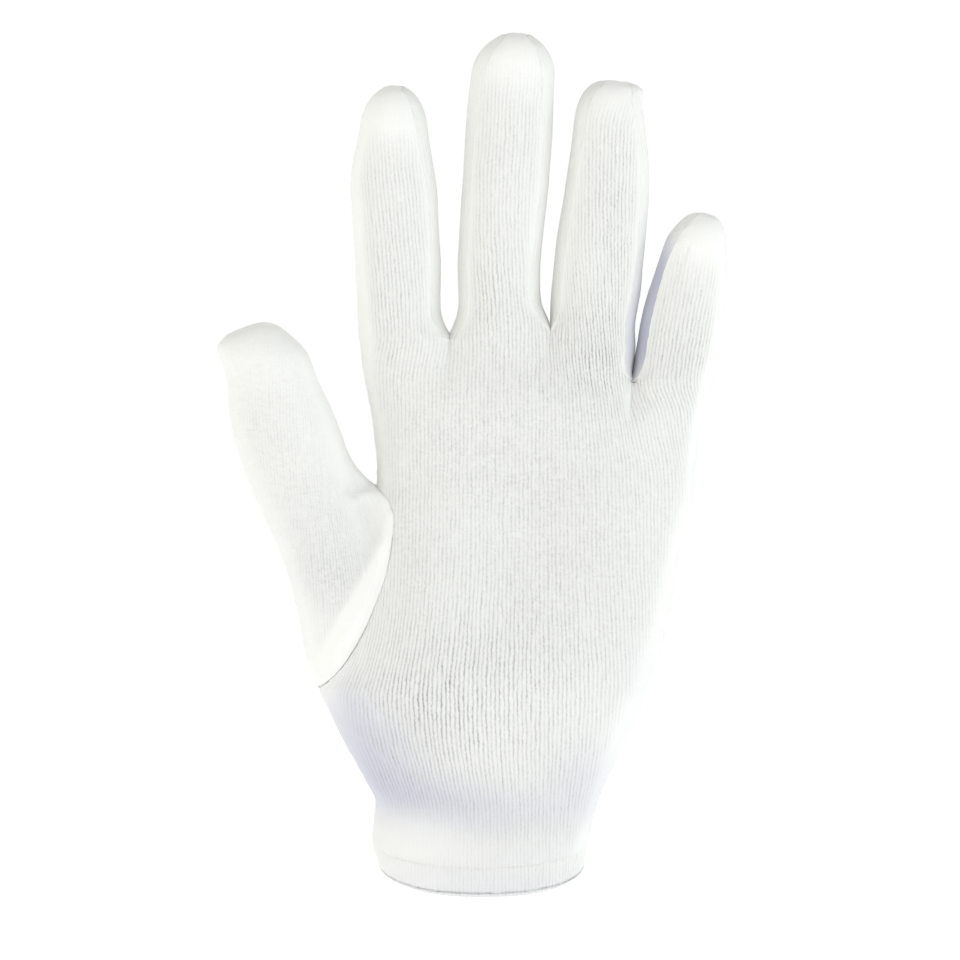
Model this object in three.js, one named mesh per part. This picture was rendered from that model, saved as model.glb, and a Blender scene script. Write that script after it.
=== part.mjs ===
import * as THREE from 'three';

// A white knitted cotton work glove, filled out as it is when worn.
// Millimetres. +Z runs along the fingers, the palm faces -Y and the little finger is on the +X side.
// The origin is the middle of the wrist opening.
//
// The outer face of the whole glove is one grid, the skin. It is built ring by ring up the hand, each finger
// and the thumb, then cut along its seams into panels. Each panel is thickened inwards into its own solid.

// Body of the glove, from the wrist opening to the fork between the index and middle fingers
const BODY_LENGTH = 142.2;
const CUFF_WIDTH = 58;
const CUFF_DEPTH = 38;
const PALM_WIDTH = 86;
const PALM_DEPTH = 28;

// Cuff
const HEM_HEIGHT = 7;
const RIM_DIP = 6.5; // the rim's palm side hangs this far below its sides, and its back rises as far above
const RIM_FADE = 45; // height above the rim at which that slant has faded out

// Cloth
const CLOTH = 1.2;
const HEM_CLOTH = 2.4; // two layers of the knit
const SEAM_GAP = 0.3;

// Thumb: its axis starts beside the heel of the hand, where the thumb seam starts
const THUMB_LENGTH = 100.7;
const THUMB_WIDTH = 27;
const THUMB_DEPTH = 25;
const THUMB_LEAN = -18.1; // degrees from +Z, positive towards the little finger
const THUMB_CURL = 0.08; // the tip leans to the palm by this share of the length
const THUMB_SEAM_START = 47.6; // height of the lower end of the thumb seam
const THUMB_FORK = 101.6; // height of the fork between the thumb and the palm
const THUMB_BASE_RISE = 1.3; // the axis starts this far above the lower end of the seam
const THUMB_BASE_ACROSS = 0.52; // and this share of THUMB_WIDTH to the palm's side of it

// Fingers
const FINGER_LENGTH = 78.4; // the longest finger, the middle one, from its fork to its tip
const FINGER_WIDTH = 23.5; // the widest finger
const FINGER_DEPTH = 20; // the deepest finger

// From the thumb's side to the little finger's. length, width and depth are shares of the three sizes above,
// lean is in degrees from +Z, and curl is how far the tip leans to the palm, as a share of the length.
const FINGER_SHARES = [
  { name: 'index', length: 0.837, width: 1, depth: 0.975, lean: -1.7, curl: 0.05 },
  { name: 'middle', length: 1, width: 0.979, depth: 1, lean: 3.1, curl: 0.05 },
  { name: 'ring', length: 0.911, width: 1, depth: 0.975, lean: 4.3, curl: 0.05 },
  { name: 'little', length: 0.557, width: 0.915, depth: 0.9, lean: 10.4, curl: 0.05 },
];
const FINGERS = FINGER_SHARES.map((row) => ({
  ...row,
  length: row.length * FINGER_LENGTH,
  width: row.width * FINGER_WIDTH,
  depth: row.depth * FINGER_DEPTH,
}));
const FORK_DEPTH = 15; // depth of the web of cloth in a fork, palm side to back

// How finely the skin is divided
const FINGER_COLUMNS = 6; // across the front or the back of one finger
const FOURCHETTE_COLUMNS = 4;
const CUFF_ROWS = 8; // hem to the start of the thumb seam
const KNUCKLE_ROWS = 6; // thumb fork to finger forks
const PALM_COLUMNS = FINGER_COLUMNS * FINGERS.length;

// Sections of the body. up is a share of BODY_LENGTH. spread goes from 0, CUFF_WIDTH, to 1, PALM_WIDTH, and
// past 1 where the fingers splay. shift moves the section's middle to +X, as a share of PALM_WIDTH. flat goes
// from 0, CUFF_DEPTH, to 1, PALM_DEPTH. front is the share of the depth on the palm side. square is the
// exponent of the superellipse.
const BODY = [
  { up: -0.05, spread: -0.2, shift: 0.006, flat: 0.0, front: 0.5, square: 2.25 },
  { up: 0.0, spread: -0.1, shift: 0.005, flat: 0.03, front: 0.5, square: 2.25 },
  { up: 0.041, spread: 0.0, shift: 0.001, flat: 0.16, front: 0.495, square: 2.15 },
  { up: 0.088, spread: 0.04, shift: 0.011, flat: 0.56, front: 0.47, square: 2.1 },
  { up: 0.126, spread: 0.09, shift: 0.021, flat: 0.92, front: 0.43, square: 2.1 },
  { up: 0.156, spread: 0.23, shift: 0.018, flat: 0.97, front: 0.425, square: 2.15 },
  { up: 0.201, spread: 0.47, shift: 0.015, flat: 0.8, front: 0.45, square: 2.2 },
  { up: 0.245, spread: 0.71, shift: 0.011, flat: 0.6, front: 0.49, square: 2.25 },
  { up: 0.291, spread: 0.93, shift: 0.012, flat: 0.4, front: 0.53, square: 2.3 },
  { up: 0.334, spread: 1.11, shift: 0.014, flat: 0.32, front: 0.56, square: 2.3 },
  { up: 0.382, spread: 1.11, shift: 0.032, flat: 0.36, front: 0.565, square: 2.35 },
  { up: 0.46, spread: 1.09, shift: 0.069, flat: 0.56, front: 0.555, square: 2.4 },
  { up: 0.555, spread: 1.04, shift: 0.107, flat: 0.79, front: 0.54, square: 2.45 },
  { up: 0.62, spread: 1.015, shift: 0.131, flat: 0.95, front: 0.52, square: 2.5 },
  { up: 0.674, spread: 1.01, shift: 0.156, flat: 0.985, front: 0.52, square: 2.5 },
  { up: 0.715, spread: 0.98, shift: 0.17, flat: 1.0, front: 0.51, square: 2.5 },
  { up: 0.787, spread: 1.01, shift: 0.174, flat: 1.045, front: 0.5, square: 2.5 },
  { up: 0.855, spread: 1.12, shift: 0.178, flat: 1.12, front: 0.49, square: 2.5 },
  { up: 0.923, spread: 1.27, shift: 0.18, flat: 1.21, front: 0.48, square: 2.5 },
  { up: 1.02, spread: 1.43, shift: 0.184, flat: 1.3, front: 0.47, square: 2.5 },
];

// Forks between neighbouring fingers: across is a share of PALM_WIDTH from the wrist's middle, and up a share
// of BODY_LENGTH
const FORKS = [
  { across: -0.097, up: 1.0 },
  { across: 0.215, up: 1.017 },
  { across: 0.47, up: 0.923 },
];
// Heights, as shares of BODY_LENGTH, at which the outer sides of the index and little fingers start
const OUTER_SIDES = { index: 1.0, little: 0.923 };

// How far the thumb seam runs in from the side of the hand, as a share of PALM_WIDTH, along its height. The
// body has a row of points at each of these heights.
const THUMB_SEAM = [
  { at: 0, inset: 0 },
  { at: 0.02, inset: 0.018 },
  { at: 0.07, inset: 0.046 },
  { at: 0.15, inset: 0.07 },
  { at: 0.28, inset: 0.092 },
  { at: 0.43, inset: 0.104 },
  { at: 0.58, inset: 0.109 },
  { at: 0.73, inset: 0.101 },
  { at: 0.85, inset: 0.084 },
  { at: 0.93, inset: 0.053 },
  { at: 0.98, inset: 0.015 },
  { at: 1, inset: 0 },
];
const THUMB_SEAM_BACK = 0.55; // the seam on the back runs in this share as far

// Soft forms that push the palm side out, or in where the push is negative. across and wide are shares of
// PALM_WIDTH, up and tall of BODY_LENGTH, push of PALM_DEPTH.
const PALM_PADS = [
  { across: -0.2, up: 0.46, wide: 0.17, tall: 0.17, push: 0.07 },
  { across: 0.46, up: 0.45, wide: 0.14, tall: 0.24, push: 0.05 },
  { across: 0.13, up: 0.6, wide: 0.17, tall: 0.17, push: -0.08 },
  { across: 0.2, up: 0.86, wide: 0.4, tall: 0.07, push: 0.05 },
  { across: -0.29, up: 0.21, wide: 0.14, tall: 0.06, push: -0.1 },
];

// Outlines of the fingers and the thumb. at is the share of the length, left and right are shares of the
// width from the axis, front and back are shares of the depth. The round end of the tip is worked out on top.
const OUTLINES = {
  index: [
    { at: -0.1, left: 0.53, right: 0.53, front: 0.55, back: 0.62 },
    { at: 0.04, left: 0.524, right: 0.446, front: 0.53, back: 0.57 },
    { at: 0.12, left: 0.521, right: 0.434, front: 0.518, back: 0.545 },
    { at: 0.3, left: 0.532, right: 0.44, front: 0.5, back: 0.5 },
    { at: 0.55, left: 0.56, right: 0.425, front: 0.49, back: 0.49 },
    { at: 0.7, left: 0.525, right: 0.375, front: 0.47, back: 0.46 },
    { at: 0.85, left: 0.42, right: 0.335, front: 0.44, back: 0.42 },
    { at: 1.0, left: 0.43, right: 0.32, front: 0.42, back: 0.4 },
  ],
  middle: [
    { at: -0.1, left: 0.56, right: 0.56, front: 0.55, back: 0.62 },
    { at: 0.03, left: 0.508, right: 0.55, front: 0.54, back: 0.58 },
    { at: 0.1, left: 0.502, right: 0.468, front: 0.52, back: 0.55 },
    { at: 0.25, left: 0.525, right: 0.435, front: 0.5, back: 0.5 },
    { at: 0.5, left: 0.52, right: 0.48, front: 0.49, back: 0.49 },
    { at: 0.75, left: 0.508, right: 0.49, front: 0.47, back: 0.46 },
    { at: 0.88, left: 0.48, right: 0.475, front: 0.45, back: 0.43 },
    { at: 1.0, left: 0.42, right: 0.49, front: 0.42, back: 0.4 },
  ],
  ring: [
    { at: -0.1, left: 0.5, right: 0.47, front: 0.55, back: 0.62 },
    { at: 0.01, left: 0.5, right: 0.505, front: 0.54, back: 0.59 },
    { at: 0.1, left: 0.505, right: 0.475, front: 0.52, back: 0.55 },
    { at: 0.25, left: 0.5, right: 0.515, front: 0.5, back: 0.5 },
    { at: 0.45, left: 0.465, right: 0.532, front: 0.49, back: 0.49 },
    { at: 0.7, left: 0.41, right: 0.49, front: 0.47, back: 0.46 },
    { at: 0.87, left: 0.39, right: 0.41, front: 0.44, back: 0.42 },
    { at: 0.94, left: 0.41, right: 0.46, front: 0.43, back: 0.41 },
    { at: 1.0, left: 0.47, right: 0.8, front: 0.42, back: 0.4 },
  ],
  little: [
    { at: -0.15, left: 0.507, right: 0.52, front: 0.55, back: 0.62 },
    { at: 0.1, left: 0.507, right: 0.515, front: 0.53, back: 0.55 },
    { at: 0.3, left: 0.507, right: 0.507, front: 0.5, back: 0.5 },
    { at: 0.6, left: 0.456, right: 0.46, front: 0.48, back: 0.48 },
    { at: 0.8, left: 0.4, right: 0.372, front: 0.45, back: 0.44 },
    { at: 0.92, left: 0.36, right: 0.395, front: 0.42, back: 0.4 },
    { at: 1.0, left: 0.37, right: 0.48, front: 0.4, back: 0.38 },
  ],
  thumb: [
    { at: 0.0, left: 0.57, right: 0.6, front: 0.52, back: 0.5 },
    { at: 0.1, left: 0.54, right: 0.6, front: 0.53, back: 0.5 },
    { at: 0.22, left: 0.49, right: 0.58, front: 0.53, back: 0.5 },
    { at: 0.39, left: 0.46, right: 0.53, front: 0.52, back: 0.5 },
    { at: 0.56, left: 0.51, right: 0.5, front: 0.5, back: 0.49 },
    { at: 0.67, left: 0.535, right: 0.495, front: 0.48, back: 0.48 },
    { at: 0.78, left: 0.505, right: 0.455, front: 0.46, back: 0.46 },
    { at: 0.88, left: 0.41, right: 0.43, front: 0.44, back: 0.42 },
    { at: 0.945, left: 0.5, right: 0.38, front: 0.42, back: 0.4 },
    { at: 1.0, left: 0.8, right: 0.42, front: 0.4, back: 0.38 },
  ],
};

// Half the angle, in degrees, that a fourchette takes of a finger's section
const FOURCHETTE_ANGLE = [
  { at: -0.1, half: 42 },
  { at: 0.3, half: 39 },
  { at: 0.6, half: 39 },
  { at: 0.8, half: 47 },
  { at: 1.0, half: 56 },
];

const SEAM_ROOM = 0.35; // how much wider the columns beside the thumb seam are
const SEAM_ROOM_FROM = 0.0875; // share of half the width that the seam cuts off where they are at that width
const SEAM_REACH = 0.35; // keeps the step at a seam's sharp corners from growing without end
const COLUMNS_FOLLOW = 0.62; // from this share of BODY_LENGTH up, the columns turn to the fingers
const DEPTH_FOLLOWS = 0.87; // and from this one up, the depth does
const EASE = 1.5; // exponent that draws the changes below the forks close to them
const NEAR = 1e-6;
const FINGER_SQUARE = 2.15; // exponent of a finger's section
const TIP_ROUND = 0.94; // length of the rounded tip, as a share of half the width
const TIP_SEAM = 0.28; // half length of the seam over a tip, as a share of half the width
const FORK_BLEND = 0.34; // a finger takes its own section this share of its width above the fork
const THUMB_BLEND = 0.5; // the thumb takes its own section this share of its width past its seam
const THUMB_TURN = 0.7; // share of its length over which its columns turn to even angles
const FORK_SLOPE = 0.08; // the ends of the web lie below its middle by this share of the finger's width
const FINGER_ROWS = [0, 0.05, 0.12, 0.22, 0.34, 0.47, 0.6, 0.72, 0.82, 0.9, 0.955, 0.985, 1];
const THUMB_ROWS = [0, 0.08, 0.18, 0.3, 0.43, 0.56, 0.69, 0.8, 0.885, 0.945, 0.98, 1];

const lerp = THREE.MathUtils.lerp;
const smooth = THREE.MathUtils.smoothstep;
const radians = THREE.MathUtils.degToRad;

// A smooth curve through the rows of a table, for every column at once
function sample(table, key, at) {
  const last = table.length - 1;
  let i = table.findIndex((row) => row[key] > at) - 1;
  if (i === -2) i = last - 1;
  i = Math.max(0, i);
  const [from, to] = [table[i], table[i + 1]];
  const span = to[key] - from[key];
  const s = THREE.MathUtils.clamp((at - from[key]) / span, 0, 1);
  const slope = (row, column) => {
    const before = table[Math.max(0, row - 1)];
    const after = table[Math.min(last, row + 1)];
    return (after[column] - before[column]) / (after[key] - before[key]);
  };
  const result = {};
  for (const column of Object.keys(from)) {
    const chord = to[column] - from[column];
    const start = slope(i, column) * span;
    const end = slope(i + 1, column) * span;
    const bend = s * (1 - s) * ((1 - s) * (start - chord) - s * (end - chord));
    result[column] = from[column] + chord * s + bend;
  }
  return result;
}

// cos or sin raised so that the curve is a superellipse
function rounded(value, square) {
  return Math.sign(value) * Math.abs(value) ** (2 / square);
}

// The body's section at a height
function bodySection(z) {
  const row = sample(BODY, 'up', z / BODY_LENGTH);
  const width = lerp(CUFF_WIDTH, PALM_WIDTH, row.spread);
  const depth = lerp(CUFF_DEPTH, PALM_DEPTH, row.flat);
  const middle = row.shift * PALM_WIDTH;
  const front = row.front * depth;
  return { middle, half: width / 2, front, back: depth - front, square: row.square };
}

function padPush(x, z) {
  let push = 0;
  for (const pad of PALM_PADS) {
    const dx = (x / PALM_WIDTH - pad.across) / pad.wide;
    const dz = (z / BODY_LENGTH - pad.up) / pad.tall;
    push += pad.push * PALM_DEPTH * Math.exp(-dx * dx - dz * dz);
  }
  return push;
}

// Depth of the body's face at a place: side is -1 on the palm side and 1 on the back
function bodyY(x, z, side) {
  const section = bodySection(z);
  const across = Math.min(1, Math.abs(x - section.middle) / section.half);
  const rise = (1 - across ** section.square) ** (1 / section.square);
  if (side > 0) return section.back * rise;
  return -rise * (section.front + padPush(x, z));
}

// A point on a finger or the thumb. angle is 0 at its +X side, 90 on the palm side and 180 at its -X side.
function digitPoint(digit, angle, at) {
  const row = sample(OUTLINES[digit.name], 'at', at);
  const roundFrom = 1 - (TIP_ROUND * digit.width) / 2 / digit.length;
  const cap = Math.sqrt(Math.max(0, 1 - (Math.max(0, at - roundFrom) / (1 - roundFrom)) ** 2));
  const half = ((row.left + row.right) / 2) * digit.width * cap;
  const middle = ((row.right - row.left) / 2) * digit.width * cap;
  const lateral = middle + half * rounded(Math.cos(radians(angle)), FINGER_SQUARE);
  const across = rounded(Math.sin(radians(angle)), FINGER_SQUARE) * cap * digit.depth;
  const y = -across * (across > 0 ? row.front : row.back) - digit.curl * digit.length * at * at;
  return onAxis(digit, lateral, y, at);
}

// A point on the seam over the tip, from -1 at its -X end to 1
function tipPoint(digit, share) {
  const row = sample(OUTLINES[digit.name], 'at', 1);
  const reach = (share < 0 ? row.left : row.right) * digit.width * TIP_SEAM;
  const drop = ((TIP_ROUND * digit.width) / 2) * (1 - Math.sqrt(1 - (TIP_SEAM * share) ** 2));
  return onAxis(digit, reach * share, -digit.curl * digit.length, 1 - drop / digit.length);
}

function onAxis(digit, lateral, y, at) {
  const lean = radians(digit.lean);
  const along = at * digit.length;
  return new THREE.Vector3(
    digit.base.x + lateral * Math.cos(lean) + along * Math.sin(lean),
    y,
    digit.base.z - lateral * Math.sin(lean) + along * Math.cos(lean),
  );
}

// Share of the digit's length at which a point lies, along its axis
function shareAlong(digit, point) {
  const lean = radians(digit.lean);
  const along = (point.x - digit.base.x) * Math.sin(lean) + (point.z - digit.base.z) * Math.cos(lean);
  return along / digit.length;
}

// Direction of a point from the axis, in degrees, in the same sense as digitPoint
function angleAbout(digit, point) {
  const lean = radians(digit.lean);
  const lateral = (point.x - digit.base.x) * Math.cos(lean) - (point.z - digit.base.z) * Math.sin(lean);
  return THREE.MathUtils.radToDeg(Math.atan2(-point.y, lateral));
}

// The skin: shared points, and triangles that each carry the name of their panel
const points = [];
const triangles = [];

function addPoint(point) {
  points.push(point);
  return points.length - 1;
}

function addQuad(panel, a, b, c, d) {
  for (const corners of [[a, b, c], [a, c, d]]) {
    if (new Set(corners).size === 3) triangles.push({ panel, corners });
  }
}

// Fills the band between two rows of points; a panel name for each step along the row
function addBand(lower, upper, panelOf) {
  for (let k = 0; k + 1 < lower.length; k += 1) {
    addQuad(panelOf(k), lower[k], lower[k + 1], upper[k + 1], upper[k]);
  }
}

// Webs of cloth in the forks, palm side to back, and the outer sides of the index and little fingers
function forkPoints(fork) {
  const web = [];
  const width = FINGERS[1].width;
  for (let m = 0; m <= FOURCHETTE_COLUMNS; m += 1) {
    const across = (2 * m) / FOURCHETTE_COLUMNS - 1;
    const x = fork.across * PALM_WIDTH;
    const z = fork.up * BODY_LENGTH - FORK_SLOPE * width * across * across;
    web.push(addPoint(new THREE.Vector3(x, (FORK_DEPTH / 2) * across, z)));
  }
  return web;
}

function outerPoint(up, side) {
  const section = bodySection(up * BODY_LENGTH);
  return [addPoint(new THREE.Vector3(section.middle + side * section.half, 0, up * BODY_LENGTH))];
}

const webs = [outerPoint(OUTER_SIDES.index, -1), ...FORKS.map(forkPoints), outerPoint(OUTER_SIDES.little, 1)];
const fourchetteNames = FORKS.map((fork, k) => `fourchette_${FINGERS[k].name}_${FINGERS[k + 1].name}`);

// Builds one finger on its webs. Returns the rows of its base: palm side left to right, back right to left.
function buildFinger(finger, left, right, leftPanel, rightPanel) {
  const middleOf = (web) => points[web[Math.floor(web.length / 2)]].clone().setY(0);
  finger.base = middleOf(left).add(middleOf(right)).multiplyScalar(0.5);
  const hasLeft = left.length > 1;
  const hasRight = right.length > 1;

  // The columns of a ring, each with its place on the section
  const columns = [];
  const edge = (at, has) => (has ? sample(FOURCHETTE_ANGLE, 'at', at).half : 0);
  const addColumns = (count, panel, angleOf, tipOf) => {
    for (let k = 0; k < count; k += 1) columns.push({ panel, share: k / count, angleOf, tipOf });
  };
  const fromTo = (from, to) => (share, at) => lerp(from(at), to(at), share);
  const leftFront = (at) => 180 - edge(at, hasLeft);
  const rightFront = (at) => edge(at, hasRight);
  const mirrored = (angle) => (at) => -angle(at);
  addColumns(FINGER_COLUMNS, 'palm_panel', fromTo(leftFront, rightFront), (share) => 2 * share - 1);
  if (hasRight) addColumns(FOURCHETTE_COLUMNS, rightPanel, fromTo(rightFront, mirrored(rightFront)), () => 1);
  const across = fromTo(mirrored(rightFront), mirrored(leftFront));
  addColumns(FINGER_COLUMNS, 'back_panel', across, (share) => 1 - 2 * share);
  if (hasLeft) {
    const behind = (at) => -360 + leftFront(at);
    addColumns(FOURCHETTE_COLUMNS, leftPanel, fromTo(mirrored(leftFront), behind), () => -1);
  }

  // Where the columns start: on the webs, and in between along the line from web to web
  const rightAt = FINGER_COLUMNS;
  const backAt = rightAt + (hasRight ? FOURCHETTE_COLUMNS : 0);
  const leftAt = backAt + FINGER_COLUMNS;
  const fixed = new Map([[0, left[0]]]);
  right.forEach((index, m) => fixed.set(rightAt + m, index));
  left.slice(1).reverse().forEach((index, m) => fixed.set(leftAt + m, index));
  if (!hasLeft) fixed.set(leftAt, left[0]);
  const anchors = [...fixed.keys()].sort((a, b) => a - b);
  const pulls = new Map();
  for (const [k, index] of fixed) {
    const at = shareAlong(finger, points[index]);
    const column = columns[k % columns.length];
    const angle = column.angleOf(column.share, at);
    pulls.set(k, { at, pull: points[index].clone().sub(digitPoint(finger, angle, at)) });
  }
  columns.forEach((column, k) => {
    const before = anchors.filter((a) => a <= k).pop();
    const after = anchors.find((a) => a >= k) ?? columns.length;
    const [from, to] = [pulls.get(before), pulls.get(after) ?? pulls.get(0)];
    const share = after > before ? (k - before) / (after - before) : 0;
    column.start = lerp(from.at, to.at, share);
    column.pull = from.pull.clone().lerp(to.pull, share);
  });

  // The rings, from the base to the seam over the tip
  const tip = [];
  for (let k = 0; k <= FINGER_COLUMNS; k += 1) {
    tip.push(addPoint(tipPoint(finger, (2 * k) / FINGER_COLUMNS - 1)));
  }
  const rings = FINGER_ROWS.map((row) => columns.map((column, k) => {
    if (row === 0 && fixed.has(k)) return fixed.get(k);
    if (row === 1) return tip[Math.round(((column.tipOf(column.share) + 1) / 2) * FINGER_COLUMNS)];
    const at = lerp(column.start, 1, row);
    const point = digitPoint(finger, column.angleOf(column.share, at), at);
    const climbed = ((at - column.start) * finger.length) / (FORK_BLEND * finger.width);
    return addPoint(point.addScaledVector(column.pull, Math.max(0, 1 - climbed) ** 2));
  }));
  rings.forEach((ring) => ring.push(ring[0]));
  for (let i = 0; i + 1 < rings.length; i += 1) {
    addBand(rings[i], rings[i + 1], (k) => columns[k].panel);
  }
  return { front: rings[0].slice(0, rightAt + 1), back: rings[0].slice(backAt, leftAt + 1) };
}

const bases = FINGERS.map((finger, k) => (
  buildFinger(finger, webs[k], webs[k + 1], fourchetteNames[k - 1], fourchetteNames[k])
));
// Top row of the body, palm side left to right and back right to left
const topFront = bases.flatMap((base, k) => (k ? base.front.slice(1) : base.front));
const topBack = bases.map((base) => base.back).reverse().flatMap((back, k) => (k ? back.slice(1) : back));

// Heights of the body's rows, as shares of BODY_LENGTH
function rowHeights() {
  const start = THUMB_SEAM_START / BODY_LENGTH;
  const fork = THUMB_FORK / BODY_LENGTH;
  const hem = HEM_HEIGHT / BODY_LENGTH;
  const heights = [0];
  for (let i = 0; i < CUFF_ROWS; i += 1) heights.push(lerp(hem, start, i / CUFF_ROWS));
  for (const row of THUMB_SEAM.slice(0, -1)) heights.push(lerp(start, fork, row.at));
  for (let i = 0; i < KNUCKLE_ROWS; i += 1) heights.push(lerp(fork, 1, 1 - (1 - i / KNUCKLE_ROWS) ** EASE));
  return heights;
}

// Where the thumb seam lies at a height, on the palm side or the back. Above and below it, the hand's side.
function leftEdge(z, side) {
  const section = bodySection(z);
  const at = (z - THUMB_SEAM_START) / (THUMB_FORK - THUMB_SEAM_START);
  const inside = at > 0 && at < 1;
  const inset = inside ? Math.max(0, sample(THUMB_SEAM, 'at', at).inset) * PALM_WIDTH : 0;
  return section.middle - section.half + inset * (side < 0 ? 1 : THUMB_SEAM_BACK);
}

// One row of points on the palm side or the back, left to right
function bodyRow(up, side, top) {
  const rise = smooth(up, COLUMNS_FOLLOW, 1);
  const toFingers = smooth(up, DEPTH_FOLLOWS, 1) ** EASE;
  const heightOf = (topPoint) => up * BODY_LENGTH + (topPoint.z - BODY_LENGTH) * rise;
  const leftTop = top[0];
  const rightTop = top[PALM_COLUMNS];
  const x0 = leftEdge(heightOf(leftTop), side);
  const rightSection = bodySection(heightOf(rightTop));
  const x1 = rightSection.middle + rightSection.half;
  const section = bodySection(up * BODY_LENGTH);
  const cutAway = (x0 - section.middle + section.half) / (section.middle + section.half - x0);
  const seamRoom = SEAM_ROOM * smooth(cutAway, 0, SEAM_ROOM_FROM);
  return top.map((topPoint, j) => {
    const step = j / PALM_COLUMNS;
    const share = (1 - Math.cos(Math.PI * step)) / 2;
    const even = share + cutAway * ((1 - share) ** 2 - (1 - share)) + seamRoom * step * (1 - step) ** 3;
    const atTop = (topPoint.x - leftTop.x) / (rightTop.x - leftTop.x);
    const x = lerp(x0, x1, lerp(even, atTop, rise));
    const z = heightOf(topPoint);
    const y = lerp(bodyY(x, z, side), topPoint.y, toFingers);
    return new THREE.Vector3(x, y, z + rimDip(up, y));
  });
}

// The rim is lowest on the palm side and highest on the back, and this fades out up the cuff
function rimDip(up, y) {
  const fade = 1 - smooth(up * BODY_LENGTH, 0, RIM_FADE);
  const depth = lerp(CUFF_DEPTH, PALM_DEPTH, sample(BODY, 'up', up).flat);
  return ((RIM_DIP * y) / (depth / 2)) * fade;
}

function buildBody() {
  const heights = rowHeights();
  const fronts = topFront.map((index) => points[index]);
  const backs = topBack.map((index) => points[index]).reverse();
  const seamStart = THUMB_SEAM_START / BODY_LENGTH;
  const seamEnd = THUMB_FORK / BODY_LENGTH;
  const thumbFront = [];
  const thumbBack = [];
  const rows = heights.map((up) => {
    const front = bodyRow(up, -1, fronts).map(addPoint);
    const back = bodyRow(up, 1, backs).reverse();
    const open = up > seamStart + NEAR && up < seamEnd - NEAR;
    const backRow = back.map((point, k) => {
      if (k === 0) return front[PALM_COLUMNS];
      if (k === PALM_COLUMNS && !open) return front[0];
      return addPoint(point);
    });
    if (up > seamStart - NEAR && up < seamEnd + NEAR) {
      thumbFront.push(front[0]);
      thumbBack.push(backRow[PALM_COLUMNS]);
    }
    return { front, back: backRow };
  });
  rows.push({ front: topFront, back: topBack });
  for (let i = 0; i + 1 < rows.length; i += 1) {
    addBand(rows[i].front, rows[i + 1].front, () => (i === 0 ? 'cuff_hem' : 'palm_panel'));
    addBand(rows[i].back, rows[i + 1].back, () => (i === 0 ? 'cuff_hem' : 'back_panel'));
  }
  return [...thumbFront, ...thumbBack.slice(1, -1).reverse()];
}

// The thumb starts on the loop of its seam: from its lower end up the palm side, over the fork, down the back
function buildThumb(loop) {
  const start = points[loop[0]];
  const thumb = {
    name: 'thumb',
    base: new THREE.Vector3(start.x + THUMB_BASE_ACROSS * THUMB_WIDTH, 0, start.z + THUMB_BASE_RISE),
    length: THUMB_LENGTH,
    width: THUMB_WIDTH,
    depth: THUMB_DEPTH,
    lean: THUMB_LEAN,
    curl: THUMB_CURL,
  };
  const half = loop.length / 2;
  const tip = [];
  for (let k = 0; k <= half; k += 1) tip.push(addPoint(tipPoint(thumb, (2 * k) / half - 1)));
  const columns = loop.map((index, k) => {
    const point = points[index];
    const own = angleAbout(thumb, point);
    const startAngle = k > half && own > 0 ? own - 360 : own;
    const endAngle = 180 - (360 * k) / loop.length;
    const at = shareAlong(thumb, point);
    return { index, at, startAngle, endAngle, pull: point.clone().sub(digitPoint(thumb, startAngle, at)) };
  });
  columns[0].startAngle = 180;
  const rings = THUMB_ROWS.map((row) => columns.map((column, k) => {
    if (row === 0) return column.index;
    if (row === 1) return tip[k <= half ? k : loop.length - k];
    const at = lerp(column.at, 1, row);
    const turned = smooth(row, 0, THUMB_TURN);
    const point = digitPoint(thumb, lerp(column.startAngle, column.endAngle, turned), at);
    const climbed = ((at - column.at) * thumb.length) / (THUMB_BLEND * thumb.width);
    return addPoint(point.addScaledVector(column.pull, Math.max(0, 1 - climbed) ** 2));
  }));
  rings.forEach((ring) => ring.push(ring[0]));
  for (let i = 0; i + 1 < rings.length; i += 1) addBand(rings[i], rings[i + 1], () => 'thumb');
}

buildThumb(buildBody());

// Normals of the skin, pointing out
function skinNormals() {
  const normals = points.map(() => new THREE.Vector3());
  for (const { corners } of triangles) {
    const [a, b, c] = corners.map((index) => points[index]);
    const face = b.clone().sub(a).cross(c.clone().sub(a));
    for (const index of corners) normals[index].add(face);
  }
  return normals.map((normal) => normal.normalize());
}

const normals = skinNormals();

// Open edges of a panel, each with the panel on its left and the third corner of its triangle
function openEdges(faces) {
  const used = new Set(faces.flatMap(([a, b, c]) => [`${a} ${b}`, `${b} ${c}`, `${c} ${a}`]));
  return faces
    .flatMap(([a, b, c]) => [[a, b, c], [b, c, a], [c, a, b]])
    .filter(([a, b]) => !used.has(`${b} ${a}`));
}

// The step that draws each corner of a panel in from its seam
function seamSteps(edges) {
  const inwards = new Map();
  for (const [a, b, third] of edges) {
    const along = points[b].clone().sub(points[a]).normalize();
    const inward = points[third].clone().sub(points[a]);
    inward.addScaledVector(along, -inward.dot(along)).normalize();
    for (const index of [a, b]) inwards.set(index, [...(inwards.get(index) ?? []), inward]);
  }
  const steps = new Map();
  for (const [index, pair] of inwards) {
    const step = pair.reduce((sum, inward) => sum.add(inward), new THREE.Vector3()).normalize();
    const reach = Math.max(step.dot(pair[0]), SEAM_REACH);
    steps.set(index, step.multiplyScalar(SEAM_GAP / 2 / reach));
  }
  return steps;
}

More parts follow.
